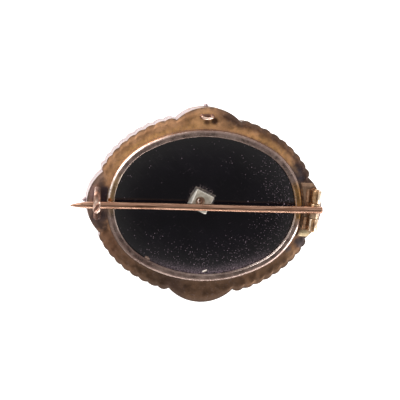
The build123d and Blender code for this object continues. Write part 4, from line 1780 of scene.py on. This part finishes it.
@dataclass
class Pin:
    """The pin: a straight stem with a long point, on the knuckle that turns."""

    hinge: BarrelHinge = field(default_factory=BarrelHinge)
    stem_y: float = 0.1
    stem_height: float = 2.15
    skew: float = 0.7
    radius: float = 0.625
    tail: float = 1.22
    reach: float = 41.7
    point: float = 3.9
    tip: float = 0.12
    bore: float = 0.39
    bow: float = 0.27
    bow_start: float = 4.0
    bow_length: float = 29.0
    ground_off: float = 0.14
    waviness: tuple[float, float] = (0.005, 0.003)

    def profile(self) -> list[tuple[float, float]]:
        """The stem's section from its tail to its point."""
        soft = 0.3
        start = self.reach - self.point
        tail = [(-self.tail, 0.0), (-self.tail, self.radius - soft)]
        tail += [
            (-self.tail + soft * (1 - math.cos(a)), self.radius - soft + soft * math.sin(a))
            for a in (math.pi / 8, math.pi / 4, math.pi * 3 / 8, math.pi / 2)
        ]
        runs = 46
        shaft = [(-0.6 + (start + 0.6) * i / runs, self.radius) for i in range(runs + 1)]
        taper = [
            (start + self.point * t, self.tip + (self.radius - self.tip) * (1 - t**1.75))
            for t in (0.1, 0.2, 0.3, 0.4, 0.5, 0.6, 0.7, 0.8, 0.88, 0.94)
        ]
        return tail + shaft + taper + [(self.reach - 0.08, self.tip * 0.8), (self.reach, 0.0)]

    def build(self) -> BMesh:
        """Turns the stem and gives it a slight bow and a hand-made waviness."""
        bm = bmesh.new()
        angle = math.radians(self.skew)
        along = Vector((-math.cos(angle), -math.sin(angle), 0))
        root = Vector((self.hinge.x, self.stem_y, PLATE_BACK + self.stem_height))
        lathe(bm, self.profile(), root, along, 48)
        for v in bm.verts:
            # The stem has taken a slight bow with use, and its point is ground from one side
            along_stem = self.hinge.x - v.co.x
            far = eased((along_stem - self.bow_start) / self.bow_length)
            end = max(0.0, (along_stem - self.reach + self.point) / self.point)
            wave = noise.noise(Vector((v.co.x / 3.3, 5.0, 1.0)))
            aside = self.bow * far - self.ground_off * end * end
            v.co += Vector((0, aside + self.waviness[0] * wave, self.waviness[1] * wave))
        return bm

    def knuckle(self) -> BMesh:
        """Makes the knuckle under the stem, with the solder that holds the stem on it."""
        bm = bmesh.new()
        profile = self.hinge.knuckle_profile(self.hinge.pin_knuckle, self.bore)
        lathe(bm, profile, self.hinge.middle, self.hinge.axis, 64, closed=True)
        seat = Vector((self.hinge.x, self.stem_y, PLATE_BACK + self.stem_height - 0.42))
        for side in (1, -1):
            blob(bm, seat + Vector((0, 0.5 * side, 0)), (0.72, 0.36, 0.26))
        wear_and_highlight, grime_and_shade = layers(bm, "wear_and_highlight", "grime_and_shade")
        for v in bm.verts:
            v[wear_and_highlight] = 0.35 if v.co.x > self.hinge.x + 0.1 else 0.1
            v[grime_and_shade] = 0.5 if abs(v.co.y - self.stem_y) > 1.1 else 0.0
        return bm

    def make(self, gold: Material, knuckle_gold: Material) -> None:
        """Builds the pin's stem and its knuckle."""
        Piece("pin", gold, Body.PIN, Slot.ROSE_GOLD, "brooch_pin", 50).make(self.build())
        Piece("pin_knuckle", knuckle_gold, Body.PIN, Slot.HINGE_GOLD, "brooch_pin", 50).make(self.knuckle())


# The studio


@dataclass(frozen=True)
class SoftBox:
    """A soft box that faces the brooch.

    Args:
        name: Its name.
        place: Where it hangs, in millimetres.
        size: Its width and height, in millimetres.
        radiance: How bright its face is, where 1 is a fully lit white.
    """

    name: str
    place: tuple[float, float, float]
    size: tuple[float, float]
    radiance: float

    def hang(self) -> None:
        """Puts it in the scene."""
        data = bpy.data.lights.new(self.name, "AREA")
        data.shape = "RECTANGLE"
        data.size, data.size_y = self.size[0] * MM, self.size[1] * MM
        data.energy = self.radiance * math.pi * data.size * data.size_y
        lamp = bpy.data.objects.new(self.name, data)
        lamp.location = at = Vector(self.place) * MM
        lamp.rotation_euler = (at - AIM).to_track_quat("Z", "Y").to_euler()
        bpy.context.scene.collection.objects.link(lamp)


@dataclass
class Studio:
    """A pale table, soft lights and the camera at the photograph's angle.

    Args:
        back: From the brooch to the camera.
        roll: How far the camera is turned about its line of sight, in radians.
        sensor: The width of its sensor, in millimetres.
        distance: From the brooch's middle to the camera, in millimetres.
        pixels_per_mm: The scale at the brooch, in a frame of 400 pixels.
        offset: How far right of and below the frame's middle the oval lies, in pixels.
        frame_pixels: The frame's width, in pixels.
        table_glow: How brightly the table glows.
        room_level: The room's brightness.
        shade_level: The brightness of the dark round the camera, which the enamel mirrors.
        boxes: The soft lights.
    """

    back: tuple[float, float, float] = (-0.142, 0.1662, 1.0)
    roll: float = -0.0505
    sensor: float = 36.0
    distance: float = 420.0
    pixels_per_mm: float = 5.907
    offset: tuple[float, float] = (4.76, 5.4)
    frame_pixels: float = 400.0
    table_glow: float = 0.8
    room_level: float = 0.84
    shade_level: float = 0.12
    boxes: tuple[SoftBox, ...] = (
        SoftBox("upper_left_box", (-340, 380, 220), (420, 340), 7.0),
        SoftBox("lower_right_box", (380, -340, 180), (360, 260), 7.0),
        SoftBox("front_strip", (20, -480, 100), (420, 40), 14.0),
        SoftBox("hinge_strip", (330, 60, 330), (60, 260), 1.8),
    )

    def camera(self) -> None:
        """Places the camera."""
        back = Vector(self.back).normalized()
        up = Vector((math.sin(self.roll), math.cos(self.roll), 0))
        up = (up - back * up.dot(back)).normalized()
        right = up.cross(back)
        middle = Vector((OVAL_X, 0, PLATE_BACK))
        place = middle + back * self.distance
        place -= right * self.offset[0] / self.pixels_per_mm
        place += up * self.offset[1] / self.pixels_per_mm
        data = bpy.data.cameras.new("camera")
        data.sensor_width = self.sensor
        data.lens = self.sensor * self.pixels_per_mm * self.distance / self.frame_pixels
        data.clip_start = 0.01
        data.clip_end = 10.0
        camera = bpy.data.objects.new("camera", data)
        camera.matrix_world = Matrix.Translation(place * MM) @ Matrix((right, up, back)).transposed().to_4x4()
        bpy.context.scene.collection.objects.link(camera)
        bpy.context.scene.camera = camera

    def floor(self) -> None:
        """Lays a plain white table that glows softly from below, as a light table does."""
        bm = bmesh.new()
        bmesh.ops.create_grid(bm, x_segments=1, y_segments=1, size=1.5)
        for v in bm.verts:
            v.co.z = -0.02 * MM
        mesh = bpy.data.meshes.new("floor")
        bm.to_mesh(mesh)
        bm.free()
        s = Shader("white_table")
        surface = {
            "Base Color": s.coats("fbfafa", (s.clouds(30.0, 0.3, 0.7, detail=3.0), "f8f7f7")),
            "Roughness": 0.8, "Specular IOR Level": 0.2,
            "Emission Color": "ffffff", "Emission Strength": self.table_glow,
        }
        mesh.materials.append(s.finish(surface))
        floor = bpy.data.objects.new("floor", mesh)
        bpy.context.scene.collection.objects.link(floor)

    def world(self) -> None:
        """Fills the room with even light, but for the dark round the camera, opposite its line of sight."""
        world = bpy.data.worlds.new("room")
        world.use_nodes = True
        tree = world.node_tree
        tree.nodes.clear()
        direction = add_node(tree, "TexCoord", output="Generated")
        mirrored = Vector((-self.back[0], -self.back[1], self.back[2])).normalized()
        near = add_node(tree, "VectorMath", (direction, tuple(mirrored)), "Value", operation="DOT_PRODUCT")
        level = add_node(tree, "MapRange", (near, 0.93, 0.988, self.room_level, self.shade_level), **SMOOTH)
        glow = add_node(tree, "Background", {"Color": "fffaf6", "Strength": level})
        add_node(tree, "OutputWorld", {"Surface": glow})
        bpy.context.scene.world = world

    def make(self) -> None:
        """Sets up the table, the lights and the camera."""
        self.floor()
        self.world()
        for box in self.boxes:
            box.hang()
        self.camera()
        bpy.context.scene.view_settings.view_transform = "Standard"


def main() -> None:
    """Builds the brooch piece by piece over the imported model."""
    logging.basicConfig(level=logging.INFO, format="%(name)s: %(message)s")
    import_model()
    Studio().make()
    old_gold = OLD_GOLD.material()
    collar_gold = COLLAR_GOLD.material()
    catch_gold = CATCH_GOLD.material()
    yellow = YELLOW_GOLD.material()
    Border().make(old_gold)
    Collar().make(collar_gold)
    Catch().make(catch_gold, old_gold)
    ChainEye().make(catch_gold)
    BarrelHinge().make(yellow, BASE_GOLD.material(), SOLDER_GOLD.material())
    Plaque().make(ENAMEL.material(), PLASTER.material(), TAB_CEMENT.material())
    Fastening().make(NUT_METAL.material(), POST_GOLD.material(), CEMENT.material())
    Pin().make(ROSE_WIRE.material(), yellow)


if __name__ == "__main__":
    main()
